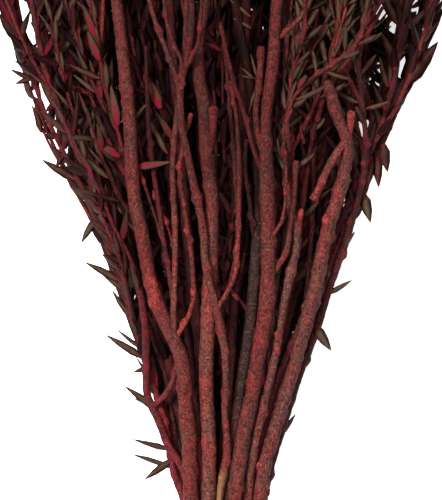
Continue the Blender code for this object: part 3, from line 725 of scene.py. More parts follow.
@dataclass
class Branch:
    """A stem, twig or side shoot as it is drawn.

    Attributes:
        name: its axis's name, or its own.
        owner: the stem whose piece it belongs to.
        points: the middle line, ring by ring, as (x, height, z).
        radii: the radius at each ring.
        ending: how it ends.
        bearing: which leaves it bears.
        leafy_from: how far along it they start.
        rough: how knobbly its bark is.
        blush: how far its bark takes the brighter red of the dye.
        columns: how many points each ring has.
        light: how light its bark is painted, from 0 to 1; less is painted shade deep in the bunch.
        worn_to: the height up to which its bark has worn through.
        shown_to: the height up to which leaves don't cover it; above, its bark is painted in shade.
    """

    name: str
    owner: str
    points: Array
    radii: Array
    ending: Ending
    bearing: Bearing
    leafy_from: float
    rough: float
    blush: float
    columns: int
    light: float = 1.0
    worn_to: float = 0.0
    shown_to: float = NEVER

    @property
    def along(self) -> Array:
        """Distance from the foot to each ring, along the middle line."""
        return lengths_along(self.points)

    def frames(self) -> tuple[Array, Array, Array]:
        """Give each ring's directions of growth, across (level) and outward (upward)."""
        growth = unit(np.gradient(self.points, axis=0))
        across = unit(np.cross(growth, UP))
        return growth, across, np.cross(across, growth)


@dataclass
class Skin:
    """Points, faces and painted values of one mesh, gathered as whole arrays."""

    points: list[Array] = field(default_factory=list)
    quads: list[Whole] = field(default_factory=list)
    triangles: list[Whole] = field(default_factory=list)
    paint: list[Array] = field(default_factory=list)
    count: int = 0

    def add_closed_grids(self, grids: Array, feet: Array, tips: Array, paint: Array) -> None:
        """Add tubes that close at a pole at either end.

        Each tube's rings run from its foot to its tip, and each ring turns from across to outward,
        so that every face points outward.

        Args:
            grids: (copies, rings, columns, 3) points.
            feet: (copies, 3) poles below the first ring.
            tips: (copies, 3) poles above the last ring.
            paint: (copies, rings, columns, 4) painted values, which the poles take from the rings.
        """
        copies, rings, columns = grids.shape[:3]
        size = rings * columns + 2
        points = np.concatenate([grids.reshape(copies, -1, 3), feet[:, None], tips[:, None]],
                                axis=1)
        values = np.concatenate([paint.reshape(copies, -1, 4), paint[:, 0].mean(1, keepdims=True),
                                 paint[:, -1].mean(1, keepdims=True)], axis=1)
        turn = np.arange(columns)
        after = (turn + 1) % columns
        last = (rings - 1) * columns
        foot = np.stack([np.full(columns, size - 2), turn, after], axis=-1)
        tip = np.stack([np.full(columns, size - 1), last + after, last + turn], axis=-1)
        offsets = self.count + size * np.arange(copies)[:, None, None]
        quads = grid_quads(rings, columns, loops=False, wraps=True)
        self.quads.append((quads + offsets).reshape(-1, 4))
        self.triangles.append((np.concatenate([foot, tip]) + offsets).reshape(-1, 3))
        self.points.append(points.reshape(-1, 3))
        self.paint.append(values.reshape(-1, 4))
        self.count += size * copies

    def add_closed_loop(self, grid: Array, paint: Array) -> None:
        """Add one ring-shaped tube, whose last section joins its first.

        Args:
            grid: (sections, columns, 3) points.
            paint: (sections, columns, 4) painted values.
        """
        sections, columns = grid.shape[:2]
        self.quads.append(grid_quads(sections, columns, loops=True, wraps=True) + self.count)
        self.points.append(grid.reshape(-1, 3))
        self.paint.append(paint.reshape(-1, 4))
        self.count += sections * columns

    def make(self, name: str, offset: Array, finish: bpy.types.Material) -> bpy.types.Object:
        """Put the gathered arrays into a mesh object at the origin.

        Args:
            name: the piece's name.
            offset: from (x, height, z) to the frame's own place, in millimetres.
            finish: its material.

        Returns:
            The linked object.
        """
        free = (np.concatenate(self.points) + offset) * MM
        points = np.clip(free, *(np.array(corner) for corner in CAD_BOX))
        LOG.info("%s reaches %.2f mm past the box", name, np.abs(free - points).max() / MM)
        quads = np.concatenate(self.quads) if self.quads else np.zeros((0, 4), int)
        triangles = np.concatenate(self.triangles) if self.triangles else np.zeros((0, 3), int)
        mesh = bpy.data.meshes.new(name)
        mesh.vertices.add(len(points))
        mesh.vertices.foreach_set("co", points.ravel())
        loops = np.concatenate([quads.ravel(), triangles.ravel()])
        starts = np.concatenate([4 * np.arange(len(quads)),
                                 quads.size + 3 * np.arange(len(triangles))])
        mesh.loops.add(len(loops))
        mesh.loops.foreach_set("vertex_index", loops)
        mesh.polygons.add(len(starts))
        mesh.polygons.foreach_set("loop_start", starts)
        paint = mesh.attributes.new("paint", "FLOAT_COLOR", "POINT")
        paint.data.foreach_set("color", np.concatenate(self.paint).ravel())
        mesh.update(calc_edges=True)
        mesh.shade_smooth()
        mesh.materials.append(finish)
        return put(name, mesh)


def blur(values: Array, reach: float, dimension: int, wraps: bool) -> Array:
    """Smooth noise along one dimension with a bell-shaped window, and restore its spread.

    Args:
        values: the noise.
        reach: the window's standard deviation, in steps.
        dimension: the dimension to smooth along.
        wraps: whether that dimension closes on itself.

    Returns:
        Smoothed noise with a standard deviation of 1.
    """
    half = max(1, int(3 * reach))
    window = np.exp(-0.5 * (np.arange(-half, half + 1) / reach) ** 2)
    pad = [(0, 0)] * values.ndim
    pad[dimension] = (half, half)
    padded = np.pad(values, pad, mode="wrap" if wraps else "reflect")
    smoothed = np.apply_along_axis(lambda row: np.convolve(row, window, mode="valid"), dimension,
                                   padded)
    return smoothed / max(float(smoothed.std()), 1e-9)


def srgb(code: str) -> tuple[float, float, float, float]:
    """Turn an sRGB hex code into the linear colour that a shader takes."""
    parts = np.array([int(code[i : i + 2], 16) for i in (1, 3, 5)]) / 255
    linear = np.where(parts <= 0.04045, parts / 12.92, ((parts + 0.055) / 1.055) ** 2.4)
    return (*(float(part) for part in linear), 1.0)


class Finish:
    """A material in the making: its node tree and its Principled shader."""

    def __init__(self, name: str) -> None:
        """Start the material.

        Args:
            name: what the real finish is.
        """
        self.material = bpy.data.materials.new(name)
        self.material.use_nodes = True
        self.tree = self.material.node_tree
        self.shader = self.tree.nodes["Principled BSDF"]

    def feed(self, node: bpy.types.Node, inputs: dict) -> None:
        """Give a node's inputs their values, or link the outputs that feed them."""
        for key, value in inputs.items():
            if isinstance(value, Socket):
                self.tree.links.new(value, node.inputs[key])
            else:
                node.inputs[key].default_value = value

    def add(self, kind: str, inputs: dict | None = None, **settings: object) -> bpy.types.Node:
        """Add a node with its settings, values and links.

        Args:
            kind: the node's type.
            inputs: for each input's name or number, the output that feeds it or its value.
            settings: properties of the node itself.

        Returns:
            The node.
        """
        node = self.tree.nodes.new(f"ShaderNode{kind}")
        for name, value in settings.items():
            setattr(node, name, value)
        self.feed(node, inputs or {})
        return node

    def place(self, stretch: tuple = (1.0, 1.0, 1.0), shift: tuple = (0.0, 0.0, 0.0)) -> Socket:
        """Give the place on the object in millimetres, times a stretch and moved by a shift."""
        scale = tuple(part / MM for part in stretch)
        place = self.add("TexCoord").outputs["Object"]
        return self.add("Mapping", {0: place, 1: shift, 3: scale}).outputs[0]

    def noise(self, place: Socket, scale: float, detail: float = 2.0,
              roughness: float = 0.5) -> Socket:
        """Add noise over a place, and give its value's socket."""
        return self.add("TexNoise", {0: place, "Scale": scale, "Detail": detail,
                                     "Roughness": roughness}).outputs[0]

    def painted(self) -> tuple[Socket, ...]:
        """Give the sockets of the mesh's four painted values."""
        paint = self.add("Attribute", attribute_name="paint")
        split = self.add("SeparateColor", {0: paint.outputs["Color"]})
        return (*split.outputs, paint.outputs["Alpha"])

    def blend(self, share: object, first: object, second: object, way: str = "MIX") -> Socket:
        """Blend two colours, each a socket or an sRGB hex code, and give the result's socket."""
        first, second = (srgb(c) if isinstance(c, str) else c for c in (first, second))
        return self.add("Mix", {0: share, 6: first, 7: second}, data_type="RGBA",
                        blend_type=way).outputs[2]

    def times(self, colour: Socket, factor: Socket) -> Socket:
        """Multiply a colour by a colour or a value, and give the result's socket."""
        return self.blend(1.0, colour, factor, "MULTIPLY")

    def slope(self, value: Socket, low: float, high: float, out_low: float = 0.0,
              out_high: float = 1.0) -> Socket:
        """Carry a value from one range to another, held at both ends, and give its socket."""
        return self.add("MapRange", {0: value, 1: low, 2: high, 3: out_low,
                                     4: out_high}).outputs[0]

    def join(self, way: str, first: Socket, second: Socket) -> Socket:
        """Add or multiply two values, and give the result's socket."""
        return self.add("Math", {0: first, 1: second}, operation=way).outputs[0]

    def finished(self, relief: Socket, depth: float, strength: float,
                 inputs: dict) -> bpy.types.Material:
        """Raise the surface by a relief, feed the shader and hand the material over.

        Args:
            relief: what raises the surface.
            depth: how far, in millimetres.
            strength: how much of that shows, from 0 to 1.
            inputs: what feeds the shader's other inputs.

        Returns:
            The material.
        """
        bump = self.add("Bump", {"Height": relief, "Distance": depth * MM, "Strength": strength})
        self.feed(self.shader, {**inputs, "Normal": bump.outputs[0]})
        return self.material


@dataclass(frozen=True)
class DyedBark:
    """Woody heath bark, steeped in burgundy dye: dry, granular, brighter at nodes and young wood.

    Attributes:
        name: what the finish is.
        base: the bark's main colour.
        deep: the dye in its cracks and pores.
        grey: its colour where it has weathered.
        pale: dry flecks and worn ridges.
        bright: the crimson of young bark and of twigs.
        ember: the orange-red of nodes and of pruned ends.
        cut: the pale wood and pith of a cut end.
        roughness: how dull it is.
        relief: how deep its grain is, in millimetres.
        shine: how much it reflects head-on, where 0.5 is smooth wood.
    """

    # Colour factors of painted shade and of painted light.
    IN_SHADE = (0.25, 0.15, 0.16, 1.0)
    IN_LIGHT = (1.23, 1.17, 1.13, 1.0)

    name: str
    base: str
    deep: str
    grey: str
    pale: str
    bright: str
    ember: str = "#943832"
    cut: str = "#8a7048"
    roughness: float = 0.82
    relief: float = 0.42
    shine: float = 0.12

    def material(self) -> bpy.types.Material:
        """Make the bark: specks, pale grains, granules of 2 mm, long stains and faded patches.

        Real specks and grains are about 0.2 mm, too fine to show, so they are drawn 3 times that.
        The patches, about 7 mm across and 20 mm long, show where the dye left the bark grey. The
        painted tone carries the bark from a dark crimson painted shade to a brighter painted light.
        """
        made = Finish(self.name)
        blush, cut, tone, weathered = made.painted()
        along = made.place((1.0, 0.6, 1.0))
        specks = made.noise(along, 1.5, 3.0, 0.8)
        granules = made.noise(along, 0.5, 3.0, 0.6)
        flecks = made.noise(made.place((1.0, 0.75, 1.0), (31, 7, 5)), 1.4, 2.0, 0.6)
        stains = made.noise(made.place((1.0, 0.38, 1.0)), 0.18, 3.0)
        faded = made.noise(made.place((1.0, 0.33, 1.0), (9, 83, 27)), 0.14)
        colour = made.blend(made.slope(faded, 0.5, 0.58, 0.0, 0.75), self.base, self.grey)
        for share, over in (
                (weathered, self.grey),
                (made.slope(stains, 0.5, 0.6, 0.0, 0.6), self.bright),
                (made.slope(blush, 0.0, 0.6), self.bright),
                (made.slope(blush, 0.6, 1.0), self.ember),
                (made.slope(granules, 0.52, 0.38, 0.0, 0.5), self.deep),
                (made.slope(specks, 0.53, 0.42, 0.0, 0.8), self.deep),
                (made.slope(flecks, 0.57, 0.69, 0.0, 0.56), self.pale)):
            colour = made.blend(share, colour, over)
        # Painted shade and painted light, by the painted tone.
        colour = made.times(colour, made.blend(tone, self.IN_SHADE, self.IN_LIGHT))
        return made.finished(made.join("ADD", granules, specks), self.relief, 1.0, {
            "Base Color": made.blend(cut, colour, self.cut),
            "Roughness": made.slope(granules, 0.3, 0.7, self.roughness + 0.1,
                                    self.roughness - 0.12),
            "Specular IOR Level": self.shine})


@dataclass(frozen=True)
class PreservedLeaf:
    """Leaves steeped in glycerine and dye: a matt olive-brown skin over crimson felt.

    Attributes:
        name: what the finish is.
        deep: the smooth upper face where the dye took most, and painted shade deep in the bunch.
        red: that face where it took less.
        olive: that face where the leaf's own colour is left.
        rim: the base, the margins and the midrib.
        felt: the hairs of the underside.
    """

    name: str = "glycerined leaf, olive-brown over crimson felt"
    deep: str = "#1a0a0c"
    red: str = "#301613"
    olive: str = "#352a1e"
    rim: str = "#481216"
    felt: str = "#580a1a"

    def material(self) -> bpy.types.Material:
        """Make the leaf: each has its own tone, mottled over about 3 mm, with a red base.

        The felt fills the groove at the base and thins out towards the tip, and painted shade deep
        in the bunch hides it. A painted highlight lifts the raised middle of a rolled leaf, painted
        shade darkens its margins, and painted shade deep in the bunch dims the whole leaf.
        """
        made = Finish(self.name)
        tone, under, across, along = made.painted()
        mottle = made.noise(made.place(), 0.35, 3.0)
        fuzz = made.noise(made.place(), 2.2)
        tone_and_shade = made.join("MULTIPLY", tone, made.slope(mottle, 0.3, 0.6, 0.4))
        felt = made.join("ADD", under, made.slope(along, 0.2, 1.0, 0.1, -0.4))
        frayed = made.join("ADD", felt, made.slope(mottle, 0.3, 0.7, -0.14, 0.14))
        # dyed: the dyed felt's share, less where painted shade falls deep in the bunch.
        dyed = made.join("MULTIPLY", made.slope(frayed, 0.64, 0.9),
                         made.slope(tone, 0.0, 0.25, 0.2, 1.0))
        colour = made.blend(made.slope(tone_and_shade, 0.0, 0.3), self.deep, self.red)
        for share, over in (
                (made.slope(tone_and_shade, 0.18, 0.6), self.olive),
                (made.slope(across, 0.55, 1.0, 0.0, 0.6), self.rim),
                (made.slope(along, 0.05, 0.3, 0.75, 0.0), self.rim),
                (dyed, self.felt)):
            colour = made.blend(share, colour, over)
        # A painted highlight mid-leaf and shade at its margins, its own fuzz, and painted shade
        # deep inside.
        for factor in (made.slope(across, 0.1, 0.9, 1.25, 0.6),
                       made.slope(fuzz, 0.3, 0.7, 0.75, 1.15),
                       made.slope(tone, 0.0, 0.3, 0.3, 1.0)):
            colour = made.times(colour, factor)
        return made.finished(fuzz, 0.08, 0.6, {
            "Base Color": colour, "Roughness": made.slope(under, 0.4, 0.9, 0.66, 0.95),
            "Specular IOR Level": 0.04})


@dataclass(frozen=True)
class DyedPlume:
    """Feathery bracts and silky hairs that took the dye deeply, paler at their tips.

    Attributes:
        name: what the finish is.
        root: the colour deep in the head.
        tip: the colour at the tips of the bracts and hairs.
    """

    name: str = "silky plume, burgundy dye"
    root: str = "#30080f"
    tip: str = "#7e2030"

    def material(self) -> bpy.types.Material:
        """Make the plume: darker towards the head's middle, with fine streaks and a soft sheen."""
        made = Finish(self.name)
        tone, _, along, _ = made.painted()
        streaks = made.noise(made.place((1.0, 0.4, 1.0)), 1.4)
        colour = made.blend(made.slope(along, 0.1, 0.95), self.root, self.tip)
        colour = made.times(colour, made.slope(tone, 0.0, 1.0, 0.6, 1.25))
        colour = made.times(colour, made.slope(streaks, 0.3, 0.7, 0.7, 1.15))
        return made.finished(streaks, 0.1, 0.5, {
            "Base Color": colour, "Roughness": 0.85, "Sheen Weight": 0.12,
            "Sheen Roughness": 0.5})


@dataclass(frozen=True)
class LatexRubber:
    """Natural latex rubber, extruded and cut: amber, slightly see-through, dusted by handling.

    Attributes:
        name: what the finish is.
        body: the rubber's colour.
        bloom: the pale bloom on its worn ridges.
    """

    name: str = "natural latex rubber, extruded"
    body: str = "#a8763f"
    bloom: str = "#c29a6a"

    def material(self) -> bpy.types.Material:
        """Make the rubber: faint extrusion lines about 0.4 mm apart and patches of bloom."""
        made = Finish(self.name)
        ribs = made.noise(made.place((0.12, 2.5, 0.12)), 1.0, 1.0)
        bloom = made.noise(made.place(), 0.3)
        share = made.slope(bloom, 0.45, 0.7, 0.0, 0.7)
        return made.finished(ribs, 0.12, 0.5, {
            "Base Color": made.blend(share, self.body, self.bloom),
            "Roughness": made.slope(bloom, 0.4, 0.7, 0.42, 0.62), "IOR": 1.52})


@dataclass(frozen=True)
class LightTable:
    """A studio table of opal acrylic, sanded matt and softly lit from below."""

    name: str = "matt opal acrylic, lit from below"
    colour: str = "#f0f0ef"
    glow: float = 0.7

    def material(self) -> bpy.types.Material:
        """Make the table: even and matt, with a faint sanded texture and an even glow."""
        made = Finish(self.name)
        stipple = made.noise(made.add("TexCoord").outputs["Object"], 400.0)
        return made.finished(stipple, 0.1, 0.1, {
            "Base Color": srgb(self.colour), "Roughness": 0.9, "Emission Color": WHITE,
            "Emission Strength": self.glow})


@dataclass
class Leaves:
    """Many leaves as arrays, one entry a leaf.

    Attributes:
        base: where each joins its shoot.
        growth: the direction from base to tip.
        face: the direction that its smooth upper face looks in.
        length: its length.
        width: its width.
        curve: how far its tip bends towards its upper face, as a share of its length.
        sway: how far its tip bends sideways, as a share of its length.
        twist: how far it turns about itself from base to tip.
        tone: how light it is, from 0 to 1: its own tone, then painted shade deep in the bunch.
        small: 1 for the slender arching kind and 0 for the lance-shaped kind.
        owner: the number of the stem whose piece it belongs to.
    """

    base: Array
    growth: Array
    face: Array
    length: Array
    width: Array
    curve: Array
    sway: Array
    twist: Array
    tone: Array
    small: Array
    owner: Array

    def take(self, chosen: Array) -> "Leaves":
        """Keep the chosen leaves."""
        return Leaves(**{f.name: getattr(self, f.name)[chosen] for f in fields(self)})

    @staticmethod
    def joined(groups: "list[Leaves]") -> "Leaves":
        """Put several groups together."""
        return Leaves(**{f.name: np.concatenate([getattr(group, f.name) for group in groups])
                         for f in fields(Leaves)})

    def spots(self, shares: Array) -> Array:
        """Give points down each leaf's bent middle line.

        Args:
            shares: how far along each leaf, from 0 to 1.

        Returns:
            (leaves, shares, 3) points: base + growth t + (face curve + side sway) t squared.
        """
        side = np.cross(self.growth, self.face)
        bend = self.face * self.curve[:, None] + side * self.sway[:, None]
        t = shares[None, :, None]
        return self.base[:, None] + self.length[:, None, None] * (
            self.growth[:, None] * t + bend[:, None] * t * t)


@dataclass(frozen=True)
class LeafForm:
    """How one kind of leaf is sized and set on its shoot.

    Attributes:
        length: its usual length.
        length_spread: the spread of its length.
        width: its usual width.
        step: the distance along the shoot from one leaf to the next.
        spread: its usual angle from the shoot, in degrees.
        spread_range: the spread of that angle.
        face_out: the share that shows the smooth face outward.
        small: 1 for the slender arching kind.
        arch: how far its tip bends back along the shoot, as a share of its length.

    Leaves lie within ANGLES degrees of the shoot, vary by LENGTHS and WIDTHS, and over the last
    TIP_REACH millimetres of the shoot lose up to the shares NEAR_TIP of angle, length and width.
    """

    ANGLES = (9, 82)
    LENGTHS = (0.55, 1.4)
    WIDTHS = (0.82, 1.18)
    TIP_REACH = 18
    NEAR_TIP = (0.45, 0.35, 0.2)
    JITTER = 0.4

    length: float
    length_spread: float
    width: float
    step: float
    spread: float
    spread_range: float
    face_out: float
    small: float
    arch: float

    def grow(self, branch: Branch, owner: int, rng: np.random.Generator) -> Leaves:
        """Set leaves in a spiral up a branch, each a golden angle on from the last.

        Args:
            branch: the stem, twig or side shoot.
            owner: the number of the stem whose piece they belong to.
            rng: the seeded source of variation.

        Returns:
            The leaves, before any is taken away.
        """
        along = branch.along
        growth, across, outward = branch.frames()
        places = np.arange(branch.leafy_from, along[-1], self.step)
        count = len(places)
        places += rng.uniform(-self.JITTER, self.JITTER, count) * self.step
        places = np.clip(places, 0, along[-1])
        angle = GOLDEN_ANGLE * np.arange(count) + rng.uniform(0, math.tau)
        angle += rng.normal(0, 0.25, count)

        def at(values: Array) -> Array:
            """Read a ring's vectors at each leaf's place."""
            return np.stack([np.interp(places, along, values[:, k]) for k in range(3)], axis=-1)

        stem, level, high = at(growth), at(across), at(outward)
        out = around(angle, level, high)
        tipwards = np.clip(1 - (along[-1] - places) / self.TIP_REACH, 0, 1)
        closer, shorter, narrower = (1 - share * tipwards for share in self.NEAR_TIP)
        spread = np.clip(rng.normal(self.spread, self.spread_range, count), *self.ANGLES)
        spread = (np.radians(spread) * closer)[:, None]
        grows = unit(np.cos(spread) * stem + np.sin(spread) * out)
        shown = np.where(rng.random(count) < self.face_out, 1.0, -1.0)[:, None]
        spot = at(branch.points)
        # The face looks away from the bunch's inside, and up on its upper side.
        high_up = spot[:, 2] - 0.6 * through(HALF_DEPTH, spot[:, 1])
        high_up += np.where(high_up > -6, 14, 0)
        away = unit(np.stack([0.3 * spot[:, 0], np.zeros(count), high_up], axis=-1))
        face = shown * (away + 0.35 * out)
        face = unit(face - (face * grows).sum(axis=1, keepdims=True) * grows)
        roll = rng.normal(0, 0.3, count)[:, None]
        face = np.cos(roll) * face + np.sin(roll) * np.cross(grows, face)
        radius = np.interp(places, along, branch.radii)[:, None]
        shortest, longest = (share * self.length for share in self.LENGTHS)
        length = np.clip(rng.normal(self.length, self.length_spread, count), shortest, longest)
        return Leaves(
            base=spot + 0.7 * radius * out, growth=grows, face=face, length=length * shorter,
            width=self.width * rng.uniform(*self.WIDTHS, count) * narrower,
            curve=rng.normal(-0.03, 0.09, count),
            sway=rng.normal(0, 0.06, count) + self.arch * rng.uniform(0.3, 1.5, count) * np.sign(
                (np.cross(grows, face) * stem).sum(axis=1)),
            twist=rng.normal(0, 0.35, count),
            tone=0.9 - (0.9 - 0.5 * self.small) * rng.random(count),
            small=np.full(count, self.small), owner=np.full(count, float(owner)))


FORMS = {
    Bearing.BROAD: LeafForm(14.2, 2.4, 3.0, 3.6, 33, 19, 0.88, 0.0, 0.05),
    Bearing.SMALL: LeafForm(11.5, 2.2, 2.5, 3.3, 40, 14, 0.95, 1.0, 0.15),
}


class Clearance:
    """Says which leaves and shoots clear the wood, the floor, the box and the bare stems."""

    BOX_SPARE = 0.4
    FLOOR_SPARE = 0.9
    LEFT_EDGE = "stem_10"
    RIGHT_EDGE = "stem_11"
    # How far past its edge stems the bunch reaches at each height, and how much less on the right.
    OVERHANG = ((300, 340), (5.0, 12.0))
    TRIM = ((218, 228, 262, 272), (0, 4.5, 4.5, 0))
    # The hollow's two sides: a stem, and how far left of it.
    HOLLOW_LEFT = ("stem_01", 3)
    HOLLOW_RIGHT = ("stem_06", 6)
    HOLLOW_TOP = 312.0
    HOLLOW_DEPTH = 1.05

    def __init__(self, layout: Layout, low: Array, high: Array) -> None:
        """Keep the layout and the frame's box.

        Args:
            layout: the settled stems.
            low: the box's lowest corner, as (x, height, z).
            high: its highest corner.
        """
        self.layout = layout
        self.low = low + self.BOX_SPARE
        self.high = high - self.BOX_SPARE
        self.low[2] = self.FLOOR_SPARE

    def inside(self, points: Array) -> Flags:
        """Say which points lie inside the frame's box and above the floor."""
        return np.all((points > self.low) & (points < self.high), axis=-1)

    def edges(self, height: Array) -> tuple[Array, Array]:
        """Give the places across of the bunch's outermost stems at some heights."""
        return (self.layout.across(self.LEFT_EDGE, height),
                self.layout.across(self.RIGHT_EDGE, height))

    def within_outline(self, points: Array) -> Flags:
        """Say which points lie between the bunch's outermost stems, or little past them.

        Args:
            points: (..., 3) places.

        Returns:
            Whether each place is within the outline.
        """
        left, right = self.edges(points[..., 1])
        past = np.interp(points[..., 1], *self.OVERHANG)
        trimmed = np.interp(points[..., 1], *self.TRIM)
        return (points[..., 0] > left - past) & (points[..., 0] < right + past - trimmed)

    def outside_hollow(self, points: Array) -> Flags:
        """Say which points lie outside the hollow behind the bare middle stems.

        Below HOLLOW_TOP the foliage between the left fork and the stems right of the middle lies
        deeper than those stems, by HOLLOW_DEPTH of the bunch's half depth.

        Args:
            points: (..., 3) places.

        Returns:
            Whether each place is outside the hollow.
        """
        height = points[..., 1]
        left, right = (self.layout.across(name, height) - aside
                       for name, aside in (self.HOLLOW_LEFT, self.HOLLOW_RIGHT))
        floor = through(HALF_DEPTH, height) * (2 - self.HOLLOW_DEPTH)
        inner = (points[..., 0] > left) & (points[..., 0] < right) & (points[..., 2] > floor)
        return ~inner | (height > self.HOLLOW_TOP)

    @staticmethod
    def outside_gaps(points: Array, spare: Array | float) -> Flags:
        """Say which points lie outside the floor gaps, which are leaning ellipses.

        Args:
            points: (..., 3) places.
            spare: how wide the thing at each place is to either side.

        Returns:
            Whether each place is outside every gap.
        """
        clear = np.ones(points.shape[:-1], dtype=bool)
        for height, across, half_length, half_width, lean in FLOOR_GAPS:
            along = points[..., 1] - height
            aside = points[..., 0] - across - lean * along
            clear &= (along / (half_length + spare)) ** 2 + (aside / (half_width + spare)) ** 2 > 1
        return clear

    def sections(self, height: Array) -> Iterator[tuple[Axis, Array, Array, Array, Array]]:
        """Read each axis's middle line and radius.

        Args:
            height: where to read them.

        Yields:
            The axis, the HEIGHTS at which it exists, and its x, z and radius at each height.
        """
        layout = self.layout
        for i, axis in enumerate(layout.axes):
            yield axis, HEIGHTS[layout.alive[i]], *(
                np.interp(height, HEIGHTS, values[i]) for values in (layout.x, layout.z, layout.r))

    def clear_of_wood(self, points: Array, spare: float) -> Flags:
        """Say which points keep a distance from every stem, twig and flower head.

        Args:
            points: (..., 3) places.
            spare: the distance to keep.

        Returns:
            Whether each place is clear.
        """
        clear = np.ones(points.shape[:-1], dtype=bool)
        height = points[..., 1]
        for _, held, x, z, r in self.sections(height):
            away = np.hypot(points[..., 0] - x, points[..., 2] - z)
            clear &= (away > r + spare) | (height < held[0]) | (height > held[-1])
        return clear

    def shows_bare_stems(self, points: Array, spare: float) -> Flags:
        """Say which points don't lie over the bare length of an upper stem.

        Args:
            points: (..., 3) places.
            spare: how wide the thing at each place is to either side.

        Returns:
            Whether each place leaves the bare stems in view.
        """
        clear = np.ones(points.shape[:-1], dtype=bool)
        height = points[..., 1]
        for axis, held, x, z, r in self.sections(height):
            top = min(held[-1], axis.leafy_from, axis.shown_to)
            over = (np.abs(points[..., 0] - x) < r + spare) & (points[..., 2] > z - 0.5)
            over &= (height > held[0]) & (height < top)
            clear &= ~over | axis.hidden
        return clear

    def free(self, points: Array, gap_spare: float, wood_spare: float) -> bool:
        """Say whether points all clear the box, the hollow and, by spares, the gaps and wood."""
        return bool(self.inside(points).all() and self.outside_hollow(points).all()
                    and self.outside_gaps(points, gap_spare).all()
                    and self.clear_of_wood(points, wood_spare).all())


class Cover:
    """The bunch seen from above as a level sheet of cells, each covered or open.

    Open cells count from the heights of SPAN, and by MARGIN inside the edge stems at each height.
    """

    cell = 0.4
    low = np.array((-110.0, 90.0))
    shape = (550, 625)
    SPAN = (96, 338)
    MARGIN = ((150, 250), (2.5, 6.0))

    def __init__(self) -> None:
        """Start with nothing covered."""
        self.marked = np.zeros(self.shape, dtype=bool)

    def cells(self, x: Array, height: Array) -> tuple[Whole, Whole]:
        """Give the cell that holds each place, or the nearest one on the sheet's edge."""
        found = (np.stack([x, height], axis=-1) - self.low) / self.cell
        found = np.clip(found.astype(int), 0, np.array(self.shape) - 1)
        return found[..., 0], found[..., 1]

    def mark(self, x: Array, height: Array) -> None:
        """Mark the cells that hold some places as covered."""
        self.marked[self.cells(x, height)] = True

    def mark_leaves(self, leaves: Leaves) -> None:
        """Mark the cells under each leaf, at 48 places along it and 9 across.

        Args:
            leaves: the leaves.
        """
        shares = np.linspace(0.04, 0.95, 48)
        middle = leaves.spots(shares)
        lance = np.interp(shares, StemLeaves.stations, StemLeaves.lance)
        half = 0.5 * leaves.width[:, None] * lance
        half = np.maximum(half - 0.5 * self.cell, 0.1)
        side = np.cross(leaves.growth, leaves.face)[:, None]
        for share in np.linspace(-1, 1, 9):
            points = middle + share * half[..., None] * side
            self.mark(points[..., 0], points[..., 1])

    def holds(self, x: float, height: float) -> bool:
        """Say whether the cell that holds a place is covered."""
        return bool(self.marked[self.cells(np.array(x), np.array(height))])

    def open_places(self, clearance: Clearance) -> list[tuple[float, float]]:
        """List the middles of the open cells that lie well inside the bunch and off its gaps.

        Args:
            clearance: what knows the bunch's outline and gaps.

        Returns:
            (x, height) of each, from the lowest up.
        """
        i, j = np.nonzero(~self.marked)
        x, height = self.low[:, None] + self.cell * (np.stack([i, j]) + 0.5)
        left, right = clearance.edges(height)
        places = np.stack([x, height, np.zeros(len(x))], axis=-1)
        margin = np.interp(height, *self.MARGIN)
        inner = (x > left + margin) & (x < right - margin)
        inner &= (height > self.SPAN[0]) & (height < self.SPAN[1])
        inner &= clearance.outside_gaps(places, 0.6)
        order = np.argsort(height[inner], kind="stable")
        return list(zip(x[inner][order].tolist(), height[inner][order].tolist()))


@dataclass(frozen=True)
class ShootForm:
    """How one kind of side shoot is sized and set on its stem.

    Attributes:
        step: the distance from one to the next up the stem.
        length: the range of its length.
        reach: the range of how far it comes to stand off its stem.
        foot: its radius at the stem.
        leafy_from: how far along it its leaves start.
        levelness: how much more it stands off level than up or down.
        light: how light its bark is painted, from 0 to 1; less is painted shade deep in the bunch.
        tip: its radius at its own tip.
        past_tip: how far past its stem's tip it may reach.
        jitter: how far it starts from its even place up the stem.
        tries: how many directions are tried.
        foot_share: how thick its foot may be, as a share of its stem.
        rooted: the share of its length that may touch the wood.
        floor: how high over the floor its middle line stays.
        spares: how far it keeps off the bare stems, the floor gaps and the wood.
    """

    step: float
    length: tuple[float, float]
    reach: tuple[float, float]
    foot: float
    leafy_from: float
    levelness: float
    light: float
    tip: float = 0.5
    past_tip: float = 22.0
    jitter: float = 6.0
    tries: int = 9
    foot_share: float = 0.65
    rooted: float = 0.22
    floor: float = 2.2
    spares: tuple[float, float, float] = (1.2, 0.7, 0.8)


LEAFY_SHOOT = ShootForm(24.0, (48.0, 105.0), (8.0, 21.0), 0.95, 7.0, 1.1, 0.9)
# Shoots deep in the bunch have their bark painted in shade.
INNER_SHOOT = ShootForm(13.0, (70.0, 130.0), (4.0, 15.0), 1.0, 10.0, 1.6, 0.1)


